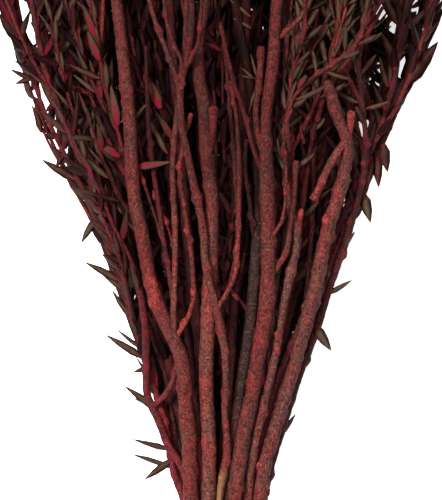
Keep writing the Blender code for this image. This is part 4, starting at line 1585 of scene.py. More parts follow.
@dataclass
class Growth:
    """Grows the drawn branches and leaves out of the settled layout.

    Attributes:
        layout: the settled stems.
        clearance: what keeps them apart.
        ring_step: the distance between rings on a stem of the upper side.
        hidden_ring_step: the same on a hidden stem.
        inner_leaves: the height from which the hidden stems bear a few dead leaves.
        sparse_to: the height up to which half of those are missing.
        shoots: the heights, over the lowest cut end and below the tip, between which leafy shoots
            start.
        inner_shoots: the heights between which the shoots deep in the bunch start.
        edge_from: the height from which the edge stems bear larger leaves.
        edge_scale: how much longer and wider those are.
        tries: how many places are tried for a leaf caught inside the bunch.
        nearby: on how many of the nearest stems they are tried.
        longest: how long such a leaf may be.
        caught_width: the range of its width.
        caught_past: the range of how far it reaches past the open place.
        caught_spares: how far it keeps off the floor gaps and the wood.
    """

    layout: Layout
    clearance: Clearance
    ring_step: float = 1.5
    hidden_ring_step: float = 3.2
    inner_leaves: float = 104.0
    sparse_to: float = 190.0
    shoots: tuple[float, float] = (165.0, 34.0)
    inner_shoots: tuple[float, float] = (120.0, 330.0)
    edge_from: float = 232.0
    edge_scale: tuple[float, float] = (1.15, 1.4)
    tries: int = 110
    nearby: int = 6
    longest: float = 21.0
    caught_width: tuple[float, float] = (3.0, 4.0)
    caught_past: tuple[float, float] = (2.0, 4.5)
    caught_spares: tuple[float, float] = (1.2, 0.1)

    @staticmethod
    def wander(count: int, reach: float, amount: float, rng: np.random.Generator) -> Array:
        """Give each ring's slight wander across and in depth, smooth over a reach of rings."""
        return blur(rng.normal(size=(count, 2)), reach, 0, False) * amount

    def frame_branch(self, axis: Axis, rng: np.random.Generator) -> Branch:
        """Draw a stem or twig of the frame, with the slight wander of real wood.

        Args:
            axis: the stem or twig.
            rng: the seeded source of variation.

        Returns:
            The branch.
        """
        low, top = axis.low, axis.top
        if axis.stem:
            held = HEIGHTS[self.layout.alive[self.layout.index[axis.name]]]
            low, top = (low, held[-1]) if axis.joins_high else (held[0], top)
        count = int((top - low) / (self.hidden_ring_step if axis.hidden else self.ring_step)) + 2
        heights = np.linspace(low, top, count)
        points = self.layout.line(axis.name, heights)
        wander = self.wander(count, 9.0, 0.22, rng)
        fade = np.clip((heights - low) / 12, 0, 1) * np.clip((top - heights) / 12, 0, 1)
        points[:, (0, 2)] += wander * fade[:, None]
        if axis.stem:
            stem = self.layout.line(axis.stem, heights)
            points = stem + axis.drawn[1] * (points - stem)
        share = np.linspace(0, 1, count)
        # A young stem thins out sooner than the frame's does.
        young = axis.foot < YOUNG_FOOT and not axis.stem and not axis.hidden
        thinned = 1 - 0.3 * young * np.clip((heights - 200) / 45, 0, 1)
        ending = Ending.HEAD if axis.head else Ending.PRUNED if axis.pruned else Ending.TIP
        bearing = axis.leaf_kind if axis.leafy_from < NEVER else Bearing.NONE
        leafy_from = self.inner_leaves if axis.hidden else axis.leafy_from
        # Hidden stems are painted in the shade of the bunch's inside.
        return Branch(
            name=axis.name, owner=axis.stem or axis.name, points=points,
            radii=axis.drawn[0] * thinned * (axis.tip + (axis.foot - axis.tip) * (1 - share**3)),
            ending=ending, bearing=bearing, leafy_from=max(leafy_from - low, 6.0),
            rough=axis.rough, blush=axis.blush,
            columns=10 if axis.hidden else 16 if axis.foot > 1.35 else 12,
            light=HIDDEN_SHADE if axis.hidden else 1.0, worn_to=axis.worn_to, shown_to=axis.shown_to)

    def thin_twig(self, twig: ThinTwig, number: int, rng: np.random.Generator) -> Branch:
        """Draw a twig that the frame leaves out, at its own lift over its stem's depth.

        Args:
            twig: its run and sizes.
            number: its number among such twigs.
            rng: the seeded source of variation.

        Returns:
            The branch.
        """
        low, top = twig.run[0][0], twig.run[-1][0]
        heights = np.linspace(low, top, int((top - low) / self.ring_step) + 2)
        stem = self.layout.line(twig.stem, heights)
        x = through(twig.run, heights)
        fork = np.clip((heights - low) / 14, 0, 1)
        x = stem[:, 0] + (x - stem[:, 0]) * fork
        z = stem[:, 2] + twig.lift * np.sin(0.5 * np.pi * fork)
        wander = self.wander(len(heights), 6.0, 0.25, rng) * fork[:, None]
        points = np.stack([x, heights, z], axis=-1)
        points[:, (0, 2)] += wander
        ending = Ending.PRUNED if twig.pruned else Ending.TIP
        owner = self.layout.axes[self.layout.index[twig.stem]]
        return Branch(
            name=f"thin_{number:02d}", owner=owner.stem or owner.name, points=points,
            radii=np.linspace(twig.foot, twig.tip, len(heights)), ending=ending,
            bearing=twig.bearing, leafy_from=twig.leafy_from, rough=1.5, blush=twig.blush,
            columns=10, light=twig.light)

    def side_shoots(self, axis: Axis, form: ShootForm, low: float, high: float,
                    rng: np.random.Generator) -> list[Branch]:
        """Grow leafy shoots off a stem: each stands off quickly, then runs beside it.

        Args:
            axis: the stem.
            form: the kind of shoot.
            low: the height from which they start.
            high: the height up to which they start.
            rng: the seeded source of variation.

        Returns:
            The shoots that clear the wood and leave the bare stems in view.
        """
        clearance = self.clearance
        starts = np.arange(low, high, form.step)
        shoots = []
        bare, gap, wood = form.spares
        for k, start in enumerate(starts + rng.uniform(-form.jitter, form.jitter, len(starts))):
            length = min(rng.uniform(*form.length), axis.top + form.past_tip - start)
            for _ in range(form.tries):
                angle = rng.uniform(0, math.tau)
                reach = rng.uniform(*form.reach)
                share = np.linspace(0, 1, max(6, int(length / 4)))
                points = self.layout.line(axis.name, start + length * share)
                out = reach * (1 - (1 - share) ** 2)
                points[:, 0] += out * math.cos(angle)
                up = out * math.sin(angle) / form.levelness
                points[:, 2] = np.maximum(points[:, 2] + up, form.floor)
                outer = points[share > form.rooted]
                if (clearance.within_outline(outer).all()
                        and clearance.shows_bare_stems(points[1:], bare).all()
                        and clearance.free(outer, gap, wood)):
                    foot = min(form.foot,
                               form.foot_share * self.layout.radius(axis.name, start))
                    shoots.append(Branch(
                        name=f"{axis.name}_shoot_{k:02d}", owner=axis.stem or axis.name,
                        points=points, radii=np.linspace(foot, form.tip, len(share)),
                        ending=Ending.TIP, bearing=axis.leaf_kind, leafy_from=form.leafy_from,
                        rough=0.8, blush=form.light * rng.uniform(0.4, 1.1), columns=6,
                        light=form.light))
                    break
        return shoots

    def branches(self) -> list[Branch]:
        """Draw every stem, twig and side shoot."""
        rng = np.random.default_rng(SEED)
        drawn = [self.frame_branch(axis, rng) for axis in self.layout.axes]
        drawn += [self.thin_twig(twig, k, rng) for k, twig in enumerate(THIN_TWIGS, start=1)]
        for axis in self.layout.axes:
            if axis.leafy_from < NEVER:
                low = max(axis.leafy_from - 12, self.shoots[0])
                drawn += self.side_shoots(axis, LEAFY_SHOOT, low, axis.top - self.shoots[1], rng)
            if axis.hidden and axis.rise < 0.15:
                drawn += self.side_shoots(axis, INNER_SHOOT, *self.inner_shoots, rng)
        return drawn

    def leaves(self, branches: list[Branch]) -> Leaves:
        """Grow every branch's leaves, and drop those that can't be there.

        Args:
            branches: the drawn stems, twigs and shoots.

        Returns:
            The leaves that clear the wood, the box and the floor and leave bare stems in view.
        """
        rng = np.random.default_rng(SEED + 1)
        grown = [FORMS[branch.bearing].grow(branch, number_of(branch.owner), rng)
                 for branch in branches if branch.bearing is not Bearing.NONE]
        leaves = Leaves.joined([*grown, self.marked()])
        marked = leaves.tone > 1
        edge = np.isin(leaves.owner, [number_of(self.clearance.LEFT_EDGE),
                                      number_of(self.clearance.RIGHT_EDGE)])
        edge &= (leaves.base[:, 1] > self.edge_from) & ~marked
        leaves.length[edge] *= self.edge_scale[0]
        leaves.width[edge] *= self.edge_scale[1]
        spots = leaves.spots(np.array((0.3, 0.55, 0.8, 1.0)))
        clearance = self.clearance
        shown = (clearance.within_outline(spots) & clearance.shows_bare_stems(spots, 0.8)
                 & clearance.outside_hollow(spots)
                 & clearance.outside_gaps(spots, 0.25 * leaves.width[:, None])).all(axis=1)
        shown &= clearance.clear_of_wood(spots[:, 1:], 0.25).all(axis=1)
        shown &= leaves.growth[:, 2] < 0.7
        sparse = (leaves.base[:, 1] < self.sparse_to) & (rng.random(len(shown)) < 0.5)
        kept = clearance.inside(spots).all(axis=1) & (shown | marked)
        leaves = leaves.take(kept & (~sparse | (leaves.owner <= len(UPPER_STEMS))))
        # Painted shade: leaves deep in the bunch and along its sides are painted darker.
        # The deep ones are also broader.
        height = leaves.base[:, 1]
        depth = leaves.base[:, 2] / (2 * through(HALF_DEPTH, height))
        rim = np.abs(leaves.base[:, 0]) / through(HALF_WIDTH, height)
        outer = np.clip(np.maximum(1.7 * depth - 0.5, 2.2 * rim - 1.3), 0, 1)
        shaded = np.clip(6 * rim - 5, 0, 0.65) * (height > 225)
        leaves.tone = np.minimum(leaves.tone, 1.0) * (0.1 + 0.9 * outer) * (1 - shaded)
        leaves.width *= 1.35 - 0.35 * outer
        return Leaves.joined([leaves, self.caught(branches, leaves)])

    def covered(self, branches: list[Branch], leaves: Leaves) -> Cover:
        """Lay the wood and the leaves out on a level sheet of cells, seen from above.

        Args:
            branches: the drawn stems, twigs and shoots.
            leaves: the leaves that grow on them.

        Returns:
            The sheet.
        """
        cover = Cover()
        for branch in branches:
            along = branch.along
            fine = np.arange(0, along[-1], 0.9 * cover.cell)
            x, height, radius = (np.interp(fine, along, values) for values in (
                branch.points[:, 0], branch.points[:, 1], branch.radii))
            for share in np.linspace(-1, 1, 15):
                cover.mark(x + share * np.maximum(radius - 0.5 * cover.cell, 0.1), height)
        cover.mark_leaves(leaves)
        return cover

    def caught(self, branches: list[Branch], leaves: Leaves) -> Leaves:
        """Set old leaves, caught deep in the bunch, across the places that nothing else covers.

        Each one sits on one of the nearest stems and reaches across the open place. Of several
        tries at different depths, the first that clears the wood is kept. Each takes a tone of 0,
        so it is painted in the darkest shade.

        Args:
            branches: the drawn stems, twigs and shoots.
            leaves: the leaves that grow on them.

        Returns:
            The caught leaves.
        """
        rng = np.random.default_rng(SEED + 3)
        cover = self.covered(branches, leaves)
        layout = self.layout
        leafy = [i for i, axis in enumerate(layout.axes)
                 if not axis.stem and axis.name != CUT_BACK]
        found = []
        left_open = 0
        for x, height in cover.open_places(self.clearance):
            if cover.holds(x, height):
                continue
            level = int(round((height - 6) / LEVEL))
            near = sorted(leafy, key=lambda i: abs(layout.x[i, level] - x))[: self.nearby]
            for attempt in range(self.tries):
                name = layout.axes[near[attempt % self.nearby]].name
                foot = layout.line(name, np.array([height - rng.uniform(1, 13)]))[0]
                aim = np.array((x + rng.normal(0, 0.3), height, 0.0))
                aim[2] = rng.uniform(2.0, 0.95 * through(HALF_DEPTH, np.array([height]))[0])
                tip = aim + rng.uniform(*self.caught_past) * unit((aim - foot) * (1, 1, 0.4))
                way = foot + np.linspace(0.35, 1.0, 5)[:, None] * (tip - foot)
                if (np.linalg.norm(tip - foot) < self.longest
                        and self.clearance.free(way, *self.caught_spares)):
                    leaf = self.between(foot[None], tip[None], rng.uniform(*self.caught_width),
                                        number_of(name), rng)
                    cover.mark_leaves(leaf)
                    found.append(leaf)
                    break
            else:
                left_open += 1
        LOG.info("%d leaves caught inside, %d cells left open", len(found), left_open)
        return Leaves.joined(found)

    @staticmethod
    def between(base: Array, tip: Array, width: Array | float, owner: Array | float,
                rng: np.random.Generator) -> Leaves:
        """Make leaves from their two ends, with their faces turned up.

        Args:
            base: where each joins its stem.
            tip: where each ends.
            width: their widths.
            owner: the numbers of their stems.
            rng: the seeded source of variation.

        Returns:
            The leaves, with a tone of 0.
        """
        count = len(base)
        growth = unit(tip - base)
        side = unit(np.cross(growth, UP))
        tilt = rng.normal(0, 0.3, count)[:, None]
        blank = np.zeros(count)
        return Leaves(base=base, growth=growth,
                      face=np.cos(tilt) * np.cross(side, growth) + np.sin(tilt) * side,
                      length=np.linalg.norm(tip - base, axis=1), width=blank + width,
                      curve=rng.normal(0, 0.05, count), sway=rng.normal(0, 0.05, count),
                      twist=rng.normal(0, 0.25, count), tone=blank, small=blank,
                      owner=blank + owner)

    def marked(self) -> Leaves:
        """Place the marked leaves, base and tip both as listed."""
        stems, low, high, across, width, start, lift, felted = zip(*map(astuple, MARKED_LEAVES))
        rng = np.random.default_rng(SEED + 2)
        base = np.concatenate([self.layout.line(stem, np.array([height]))
                               for stem, height in zip(stems, low)])
        base[:, 0] = [x if own is None else own for own, x in zip(start, base[:, 0])]
        base[:, 2] += lift
        tips = np.stack([across, high, base[:, 2] + 2], axis=-1)
        owners = np.array([number_of(stem) for stem in stems])
        leaves = self.between(base, tips, np.array(width), owners, rng)
        leaves.face = np.where(felted, -1.0, 1.0)[:, None] * leaves.face
        leaves.tone = rng.uniform(1.01, 1.4, len(base))
        return leaves


@dataclass
class StemWood:
    """A cut stem's wood, with its twigs and side shoots.

    Attributes:
        name: the CAD node that it stands for.
        branches: what it is made of.
        grain: how rough the bark's surface is, as a share of the radius.
        ridges: how strong its long ridges are, as a share of the radius.
        knob_step: the usual distance from one leaf scar to the next.
        knob_height: how far a leaf scar stands out.
        swelling: how much the whole ring swells and shrinks along it, as a share of the radius.
        collar: how much a branch widens at its foot, and over how far up.
        knuckle: how much a pruned end swells, and over how far.
        stump_blush: how much redder a pruned end is, and over how far.
        foot_blush: how much redder a branch is at its foot, and over how far.
    """

    name: str
    branches: list[Branch]
    grain: float = 0.045
    ridges: float = 0.05
    knob_step: float = 6.5
    knob_height: float = 0.75
    swelling: float = 0.03
    collar: tuple[float, float] = (0.35, 2.4)
    knuckle: tuple[float, float] = (0.2, 2.2)
    stump_blush: tuple[float, float] = (0.55, 9)
    foot_blush: tuple[float, float] = (0.35, 7)

    def tube(self, branch: Branch, rng: np.random.Generator) -> tuple[Array, Array]:
        """Work out one branch's bark.

        Each ring's radius is the branch's own, times 1 plus long ridges, fine grain and a collar
        at the foot, plus a bell-shaped knob at each leaf scar.

        Args:
            branch: the branch.
            rng: the seeded source of variation.

        Returns:
            (rings, columns) radii, and how much of a knob each point is.
        """
        along, columns = branch.along, branch.columns
        rings = len(along)
        angle = turns(columns)
        shape = (rings, columns)
        long = blur(blur(rng.normal(size=shape), 4.0, 0, False), 1.3, 1, True)
        fine = rng.normal(size=shape)
        swelling = blur(rng.normal(size=(rings, 1)), 5.0, 0, False)
        knobs = max(1, int(along[-1] / self.knob_step))
        spots = np.sort(rng.uniform(0, along[-1], knobs))
        sides = GOLDEN_ANGLE * np.arange(knobs) + rng.uniform(0, math.tau)
        heights = self.knob_height * branch.rough * rng.uniform(0.3, 1.5, knobs)
        wrapped = (angle[:, None] - sides + np.pi) % math.tau - np.pi
        size = np.interp(spots, along, branch.radii)
        bell = np.exp(-0.5 * ((along[:, None] - spots) / (0.7 + 0.25 * size)) ** 2)
        beside = np.exp(-0.5 * (wrapped * size / (0.45 + 0.2 * size)) ** 2)
        scars = np.einsum("rk,ck->rc", bell * heights, beside)
        amount, reach = self.collar
        collar = amount * np.exp(-along / reach)[:, None] * (branch.name != self.name)
        knuckle = np.zeros((rings, 1))
        if branch.ending is Ending.PRUNED:
            amount, reach = self.knuckle
            knuckle = amount * np.exp(-0.5 * ((along[-1] - along - 1.0) / reach) ** 2)[:, None]
        rough = branch.rough
        radii = branch.radii[:, None] * (
            1 + self.ridges * rough * long + self.grain * rough * fine
            + self.swelling * rough * swelling + collar + knuckle)
        return radii + scars, scars / self.knob_height

    def add_branch(self, skin: Skin, branch: Branch, rng: np.random.Generator) -> None:
        """Add one branch's closed tube: its cut foot, its bark and its upper end.

        A point is the ring's middle plus its radius times cos a across and sin a outward. The foot
        closes flat with a small bevel, and the upper end closes as a half round or a fine point.

        Args:
            skin: the mesh in the making.
            branch: the branch.
            rng: the seeded source of variation.
        """
        radii, scars = self.tube(branch, rng)
        growth, across, outward = branch.frames()
        rings, columns = radii.shape
        angle = turns(columns)
        round_end = np.radians((28.0, 55.0, 76.0))
        blunt = branch.radii[-1]
        reach = {Ending.HEAD: 0.4, Ending.PRUNED: 0.75 * blunt, Ending.TIP: 2.0 * blunt}
        beyond = reach[branch.ending] * np.sin(round_end)
        order = np.concatenate([[0, 0], np.arange(rings), [rings - 1] * 3])
        scale = np.concatenate([[0.45, 0.93], np.ones(rings), np.cos(round_end)])
        shift = np.concatenate([[0, 0, 0.35], np.zeros(rings - 1), beyond])
        circle = around(angle, across[order][:, None], outward[order][:, None])
        middle = branch.points[order] + shift[:, None] * growth[order]
        grid = middle[:, None] + (scale[:, None] * radii[order])[..., None] * circle
        foot = branch.points[0]
        tip = branch.points[-1] + reach[branch.ending] * growth[-1]
        paint = self.paint(branch, scars, rng)[order]
        paint[:2, :, 1] = np.maximum(paint[:2, :, 1], float(branch.name == self.name))
        skin.add_closed_grids(grid[None], foot[None], tip[None], paint[None])

    def paint(self, branch: Branch, scars: Array, rng: np.random.Generator) -> Array:
        """Work out one branch's painted values.

        Each branch's tone carries painted shade: its sides and undersides, where the stems touch,
        are painted darker, and so are its leafy lengths and its upper ones, most of all in the
        bunch's middle. A shoot, and a twig on a stem that the foliage hides, starts in painted
        shade, and bark above shown_to is painted in the leaves' shade.

        Args:
            branch: the branch.
            scars: (rings, columns) how much of a knob each point is.
            rng: the seeded source of variation.

        Returns:
            (rings, columns, 4) values: blush, bare wood, tone with painted shade, and weathering.
        """
        x, height, _ = branch.points.T
        along = branch.along
        own = branch.name == self.name
        stains = blur(blur(rng.normal(size=scars.shape), 6.0, 0, False), 2.0, 1, True)
        blush = branch.blush * 0.7 + 0.16 * stains + 0.5 * scars
        if branch.ending is Ending.PRUNED:
            amount, reach = self.stump_blush
            blush += amount * np.exp(-(along[-1] - along) / reach)[:, None]
        if not own:
            amount, reach = self.foot_blush
            blush += amount * np.exp(-along / reach)[:, None]
        worn = np.clip((branch.worn_to - height) / 12, 0, 0.4)[:, None] * (stains > -0.4)
        # Painted shade: the flanks and undersides are painted darker than the upper side.
        held = 0.45 + 0.55 * np.clip(np.sin(turns(branch.columns)), 0, 1)
        # Painted shade: darker up the stem, most of all in the bunch's middle, and along the leafy
        # lengths.
        middle = np.exp(-((x / 24) ** 2)) * np.clip((height - 200) / 35, 0, 1)
        leafy = branch.bearing is not Bearing.NONE
        among = np.clip((along - branch.leafy_from) / 15, 0, 1) * leafy
        held = held * (np.interp(height, (180, 300), (1.0, 0.7)) * (1 - 0.8 * middle)
                       * (1 - 0.4 * among))[:, None]
        # Painted shade at the foot of a shoot, and of a twig on a stem that the foliage hides.
        if "_shoot_" in branch.name or (not own and self.branches[0].shown_to < NEVER):
            held = held * (1 - 0.9 * np.exp(-along / 13)[:, None])
        # Painted shade of the leaves that cover the bark above shown_to.
        leaf_shade = np.clip((height - branch.shown_to) / 15, 0, 0.95)[:, None]
        thick = np.interp(branch.radii[0], (0.8, 2.4), (0.8, 1.0))
        tone_and_shade = thick * rng.uniform(0.55, 0.95) * branch.light * held * (1 - leaf_shade)
        weathered = np.clip(1.1 * (branch.rough - 0.9), 0.0, 0.7) * (branch.light > 0.5)
        return painted(scars.shape, np.clip(blush, 0, 1), worn, tone_and_shade,
                       weathered * np.interp(height, (210, 260), (1, 0.4))[:, None])

    def build(self, seed: int) -> Skin:
        """Build the stem's mesh, with its variation drawn from a seed."""
        rng = np.random.default_rng(seed)
        skin = Skin()
        for branch in self.branches:
            self.add_branch(skin, branch, rng)
        return skin


@dataclass
class StemLeaves:
    """All the leaves of one stem.

    Attributes:
        leaves: where they are.
        stations: how far along a leaf its rings lie.
        lance: the half width at each ring of a lance-shaped leaf.
        slender: the same of a slender arching leaf.
        section: (across, outward, underside) of the rolled section's points, from the right margin
            over the smooth face, and back under the rolled margins to the felted groove.
        thickness: the section's height for a half width of 1.
    """

    leaves: Leaves
    stations: tuple[float, ...] = (0.06, 0.3, 0.62, 0.88)
    lance: tuple[float, ...] = (0.5, 1.0, 0.78, 0.3)
    slender: tuple[float, ...] = (0.35, 0.92, 0.96, 0.5)
    section: tuple[tuple[float, float, float], ...] = (
        (1.0, -0.1, 0.5), (0.0, 0.46, 0.0), (-1.0, -0.1, 0.5), (-0.62, -0.42, 0.6),
        (0.0, -0.06, 1.0), (0.62, -0.42, 0.6))
    thickness: float = 0.62

    def build(self) -> Skin:
        """Build the leaves as one mesh.

        A point is the bent middle line at t, plus the half width at t times the section's across
        and outward parts, along axes that turn by the leaf's twist times t.

        Returns:
            The mesh in the making.
        """
        leaves = self.leaves
        t = np.array(self.stations)
        section = np.array(self.section)
        middle = leaves.spots(t)
        side = np.cross(leaves.growth, leaves.face)
        turn = (leaves.twist[:, None] * t)[..., None]
        across = np.cos(turn) * side[:, None] + np.sin(turn) * leaves.face[:, None]
        face = np.cos(turn) * leaves.face[:, None] - np.sin(turn) * side[:, None]
        small = leaves.small[:, None]
        half = 0.5 * leaves.width[:, None] * (
            np.array(self.lance) * (1 - small) + np.array(self.slender) * small)
        grid = middle[:, :, None] + half[..., None, None] * (
            across[:, :, None] * section[:, 0, None]
            + face[:, :, None] * self.thickness * section[:, 1, None])
        ends = leaves.spots(np.array((0.0, 1.0)))
        paint = painted(grid.shape[:3], np.minimum(leaves.tone, 1.0)[:, None, None],
                        section[:, 2], np.abs(section[:, 0]), t[:, None])
        skin = Skin()
        skin.add_closed_grids(grid, ends[:, 0], ends[:, 1], paint)
        return skin


@dataclass
class FlowerHead:
    """A feathery flower head: bracts and silky hairs standing out round a dense core.

    Attributes:
        foot: where it sits on its stem's tip.
        growth: the direction that it grows in.
        bracts: how many narrow bracts it has.
        hairs: how many silky hairs stand between them.
        length: its length.
        blade: the range of a blade's length.
        fill: how much of the frame's outline the blades fill.
        core_share: how much of it the core fills.
        bow: how far a blade bows outward, as a share of its length.
    """

    foot: Array
    growth: Array
    bracts: int = 120
    hairs: int = 300
    length: float = HEAD_LENGTH - 0.6
    blade: tuple[float, float] = (13, 20)
    fill: float = 0.88
    core_share: float = 0.5
    bow: float = 0.07

    def sides(self) -> tuple[Array, Array]:
        """Give the two directions across the head: level, and up from the floor."""
        side = unit(np.cross(self.growth, UP))
        return side, np.cross(side, self.growth)

    def blades(self, skin: Skin, count: int, form: tuple[float, float], columns: int,
               rng: np.random.Generator) -> None:
        """Set blades in a spiral up the head, each narrowing to a point inside its outline.

        A blade runs from the core's surface to the head's outline, and bows outward by a part of
        its length times 4 t (1 - t).

        Args:
            skin: the mesh in the making.
            count: how many blades.
            form: the half width, and how far the blade is narrowed towards its root.
            columns: how many points each ring has.
            rng: the seeded source of variation.
        """
        share = (np.arange(count) + 0.5) / count
        angle = GOLDEN_ANGLE * np.arange(count) + rng.normal(0, 0.2, count)
        root = 0.66 * share * self.length
        spread = np.radians(66 - 50 * share + rng.normal(0, 7, count))
        length = rng.uniform(*self.blade, count)
        tip = np.minimum(root + length * np.cos(spread), self.length * rng.uniform(0.93, 1, count))
        outline = swell(tip / HEAD_LENGTH) * self.fill
        reach = np.minimum(1.6 + length * np.sin(spread), outline)
        out = around(angle, *self.sides())
        base = self.foot + root[:, None] * self.growth + 1.2 * out
        end = self.foot + tip[:, None] * self.growth + reach[:, None] * out
        along = unit(end - base)
        across = unit(np.cross(along, out))
        outward = np.cross(across, along)
        t = np.array((0.12, 0.45, 0.8) if columns > 3 else (0.4,))
        span = np.linalg.norm(end - base, axis=1)[:, None, None]
        bow = -self.bow * span * (4 * t * (1 - t))[:, None]
        middle = base[:, None] + (end - base)[:, None] * t[:, None] + bow * outward[:, None]
        widths = np.array((form[1], 1.0, 0.55) if columns > 3 else (1.0,))
        half = form[0] * rng.uniform(0.75, 1.25, count)[:, None] * widths
        turn = turns(columns)
        ring = (np.cos(turn)[:, None] * across[:, None, None]
                + 0.35 * np.sin(turn)[:, None] * outward[:, None, None])
        grid = middle[:, :, None] + half[..., None, None] * ring
        paint = painted(grid.shape[:3], rng.random(count)[:, None, None], 0.0, t[:, None])
        skin.add_closed_grids(grid, base, end, paint)

    def core(self, skin: Skin) -> None:
        """Add the dense core: a rounded spindle with a shallow wave round and up it.

        Args:
            skin: the mesh in the making.
        """
        t = np.linspace(0.03, 0.97, 9)
        turn = turns(12)
        radius = self.core_share * swell(t)[:, None] * (
            1 + 0.12 * np.sin(5 * turn + 9 * t[:, None]))
        radius *= np.sqrt(np.clip(1 - t[:, None] ** 4, 0, 1))
        circle = around(turn, *self.sides())
        middle = self.foot + (0.1 + 0.86 * self.length * t)[:, None] * self.growth
        grid = middle[:, None] + radius[..., None] * circle
        ends = self.foot + np.array((0.0, 0.87 * self.length))[:, None] * self.growth
        skin.add_closed_grids(grid[None], ends[:1], ends[1:], painted((1, *grid.shape[:2])))

    def build(self, seed: int) -> Skin:
        """Build the head as one mesh, with its variation drawn from a seed."""
        rng = np.random.default_rng(seed)
        skin = Skin()
        self.core(skin)
        self.blades(skin, self.bracts, (0.85, 0.6), 4, rng)
        self.blades(skin, self.hairs, (0.16, 1.3), 3, rng)
        return skin


@dataclass
class RubberBand:
    """The rubber band: one closed loop wound three times round the stems.

    Attributes:
        layout: the settled stems.
        sections: how many sections each turn has.
        width: the band's width.
        thickness: its thickness.
        corners: how many points each section has.
        steps_at: the share of a turn from which it steps on to the next.
        wave: how far it wavers over the stems, and how often in a turn.
    """

    layout: Layout
    sections: int = 120
    width: float = 3.1
    thickness: float = 1.5
    corners: int = 12
    steps_at: float = 0.86
    wave: tuple[float, int] = (0.12, 9)

    def outline(self) -> Array:
        """Work out the frame's own line for the band's inner side, as TIE_SIDES (x, z) points."""
        half = 0.5 * TIE_TURNS * TIE_TURN_WIDTH
        angle = turns(20)
        rounds = []
        for axis in self.layout.axes:
            if axis.run[0][0] > TIE_HEIGHT:
                continue
            heights = np.array((TIE_HEIGHT - half - 1, TIE_HEIGHT, TIE_HEIGHT + half + 1))
            middle = self.layout.line(axis.name, heights)
            reach = (self.layout.radius(axis.name, heights) + GAP)[:, None]
            rounds.append(np.stack([middle[:, 0, None] + reach * np.cos(angle),
                                    middle[:, 2, None] + reach * np.sin(angle)], axis=-1))
        corners = self.hull(np.round(np.concatenate(rounds).reshape(-1, 2), 4))
        return self.read_round(corners, np.arange(TIE_SIDES), TIE_SIDES)

    @staticmethod
    def read_round(corners: Array, steps: Array, whole: int) -> Array:
        """Read places on a closed outline.

        Args:
            corners: the outline's (x, z) corners.
            steps: how many steps round each place lies.
            whole: how many steps the whole way round takes.

        Returns:
            The (x, z) places.
        """
        closed = np.vstack([corners, corners[:1]])
        lengths = lengths_along(closed)
        places = lengths[-1] * steps / whole
        return np.stack([np.interp(places, lengths, closed[:, k]) for k in range(2)], axis=-1)

    @staticmethod
    def outward(path: Array, reach: int) -> Array:
        """Give the direction out of a closed (x, z) path at each of its points."""
        tangent = unit(np.roll(path, -reach, axis=0) - np.roll(path, reach, axis=0))
        return np.stack([tangent[:, 1], -tangent[:, 0]], axis=-1)

    @staticmethod
    def hull(points: Array) -> Array:
        """Give the convex outline round flat points, anticlockwise from the leftmost.

        Args:
            points: (x, z) points.

        Returns:
            The outline's corners.
        """
        ordered = sorted(set(map(tuple, points)))
        sides: list[tuple[float, float]] = []
        for run in (ordered, ordered[::-1]):
            side: list[tuple[float, float]] = []
            for point in run:
                while len(side) > 1 and (
                        (side[-1][0] - side[-2][0]) * (point[1] - side[-2][1])
                        <= (side[-1][1] - side[-2][1]) * (point[0] - side[-2][0])):
                    side.pop()
                side.append(point)
            sides += side[:-1]
        return np.array(sides)

    def frame_corner(self) -> Array:
        """Give the frame band's lowest corner as the layout has it: (x, height, z)."""
        inner = self.outline()
        outer = inner + (TIE_PLAY + TIE_THICKNESS) * self.outward(inner, 1)
        low = outer.min(axis=0)
        return np.array((low[0], TIE_HEIGHT - 0.5 * TIE_TURNS * TIE_TURN_WIDTH, low[1]))

    def build(self) -> Skin:
        """Build the band: a rounded strip carried three times round, then back over itself.

        The strip's place along the stems steps on by its own width once a turn, and its last step
        comes back over the other turns, lifted clear of them.

        Returns:
            The mesh in the making.
        """
        total = TIE_TURNS * self.sections
        turn = np.arange(total) / self.sections
        within = turn % 1
        path = self.read_round(self.outline(), within, 1)
        outward = self.outward(path, 2)
        step = np.clip((within - self.steps_at) / (1 - self.steps_at), 0, 1)
        step = step * step * (3 - 2 * step)
        number = np.floor(turn)
        drift = np.where(number < TIE_TURNS - 1, number + step, number * (1 - step))
        lift = np.where(number < TIE_TURNS - 1, 0.0, self.thickness * np.sin(np.pi * step) ** 0.5)
        height = TIE_HEIGHT + (drift - 0.5 * (TIE_TURNS - 1)) * TIE_TURN_WIDTH
        depth, waves = self.wave
        out = TIE_PLAY + 0.5 * self.thickness + lift + depth * np.sin(waves * math.tau * turn)
        middle = path + out[:, None] * outward
        angle = turns(self.corners)
        across = 0.5 * self.width * np.sign(np.cos(angle)) * np.abs(np.cos(angle)) ** 0.45
        thick = 0.5 * self.thickness * np.sign(np.sin(angle)) * np.abs(np.sin(angle)) ** 0.6
        grid = np.zeros((total, self.corners, 3))
        grid[..., 0] = middle[:, 0, None] + thick * outward[:, 0, None]
        grid[..., 2] = middle[:, 1, None] + thick * outward[:, 1, None]
        grid[..., 1] = height[:, None] + across
        skin = Skin()
        skin.add_closed_loop(grid, np.ones((total, self.corners, 4)))
        return skin


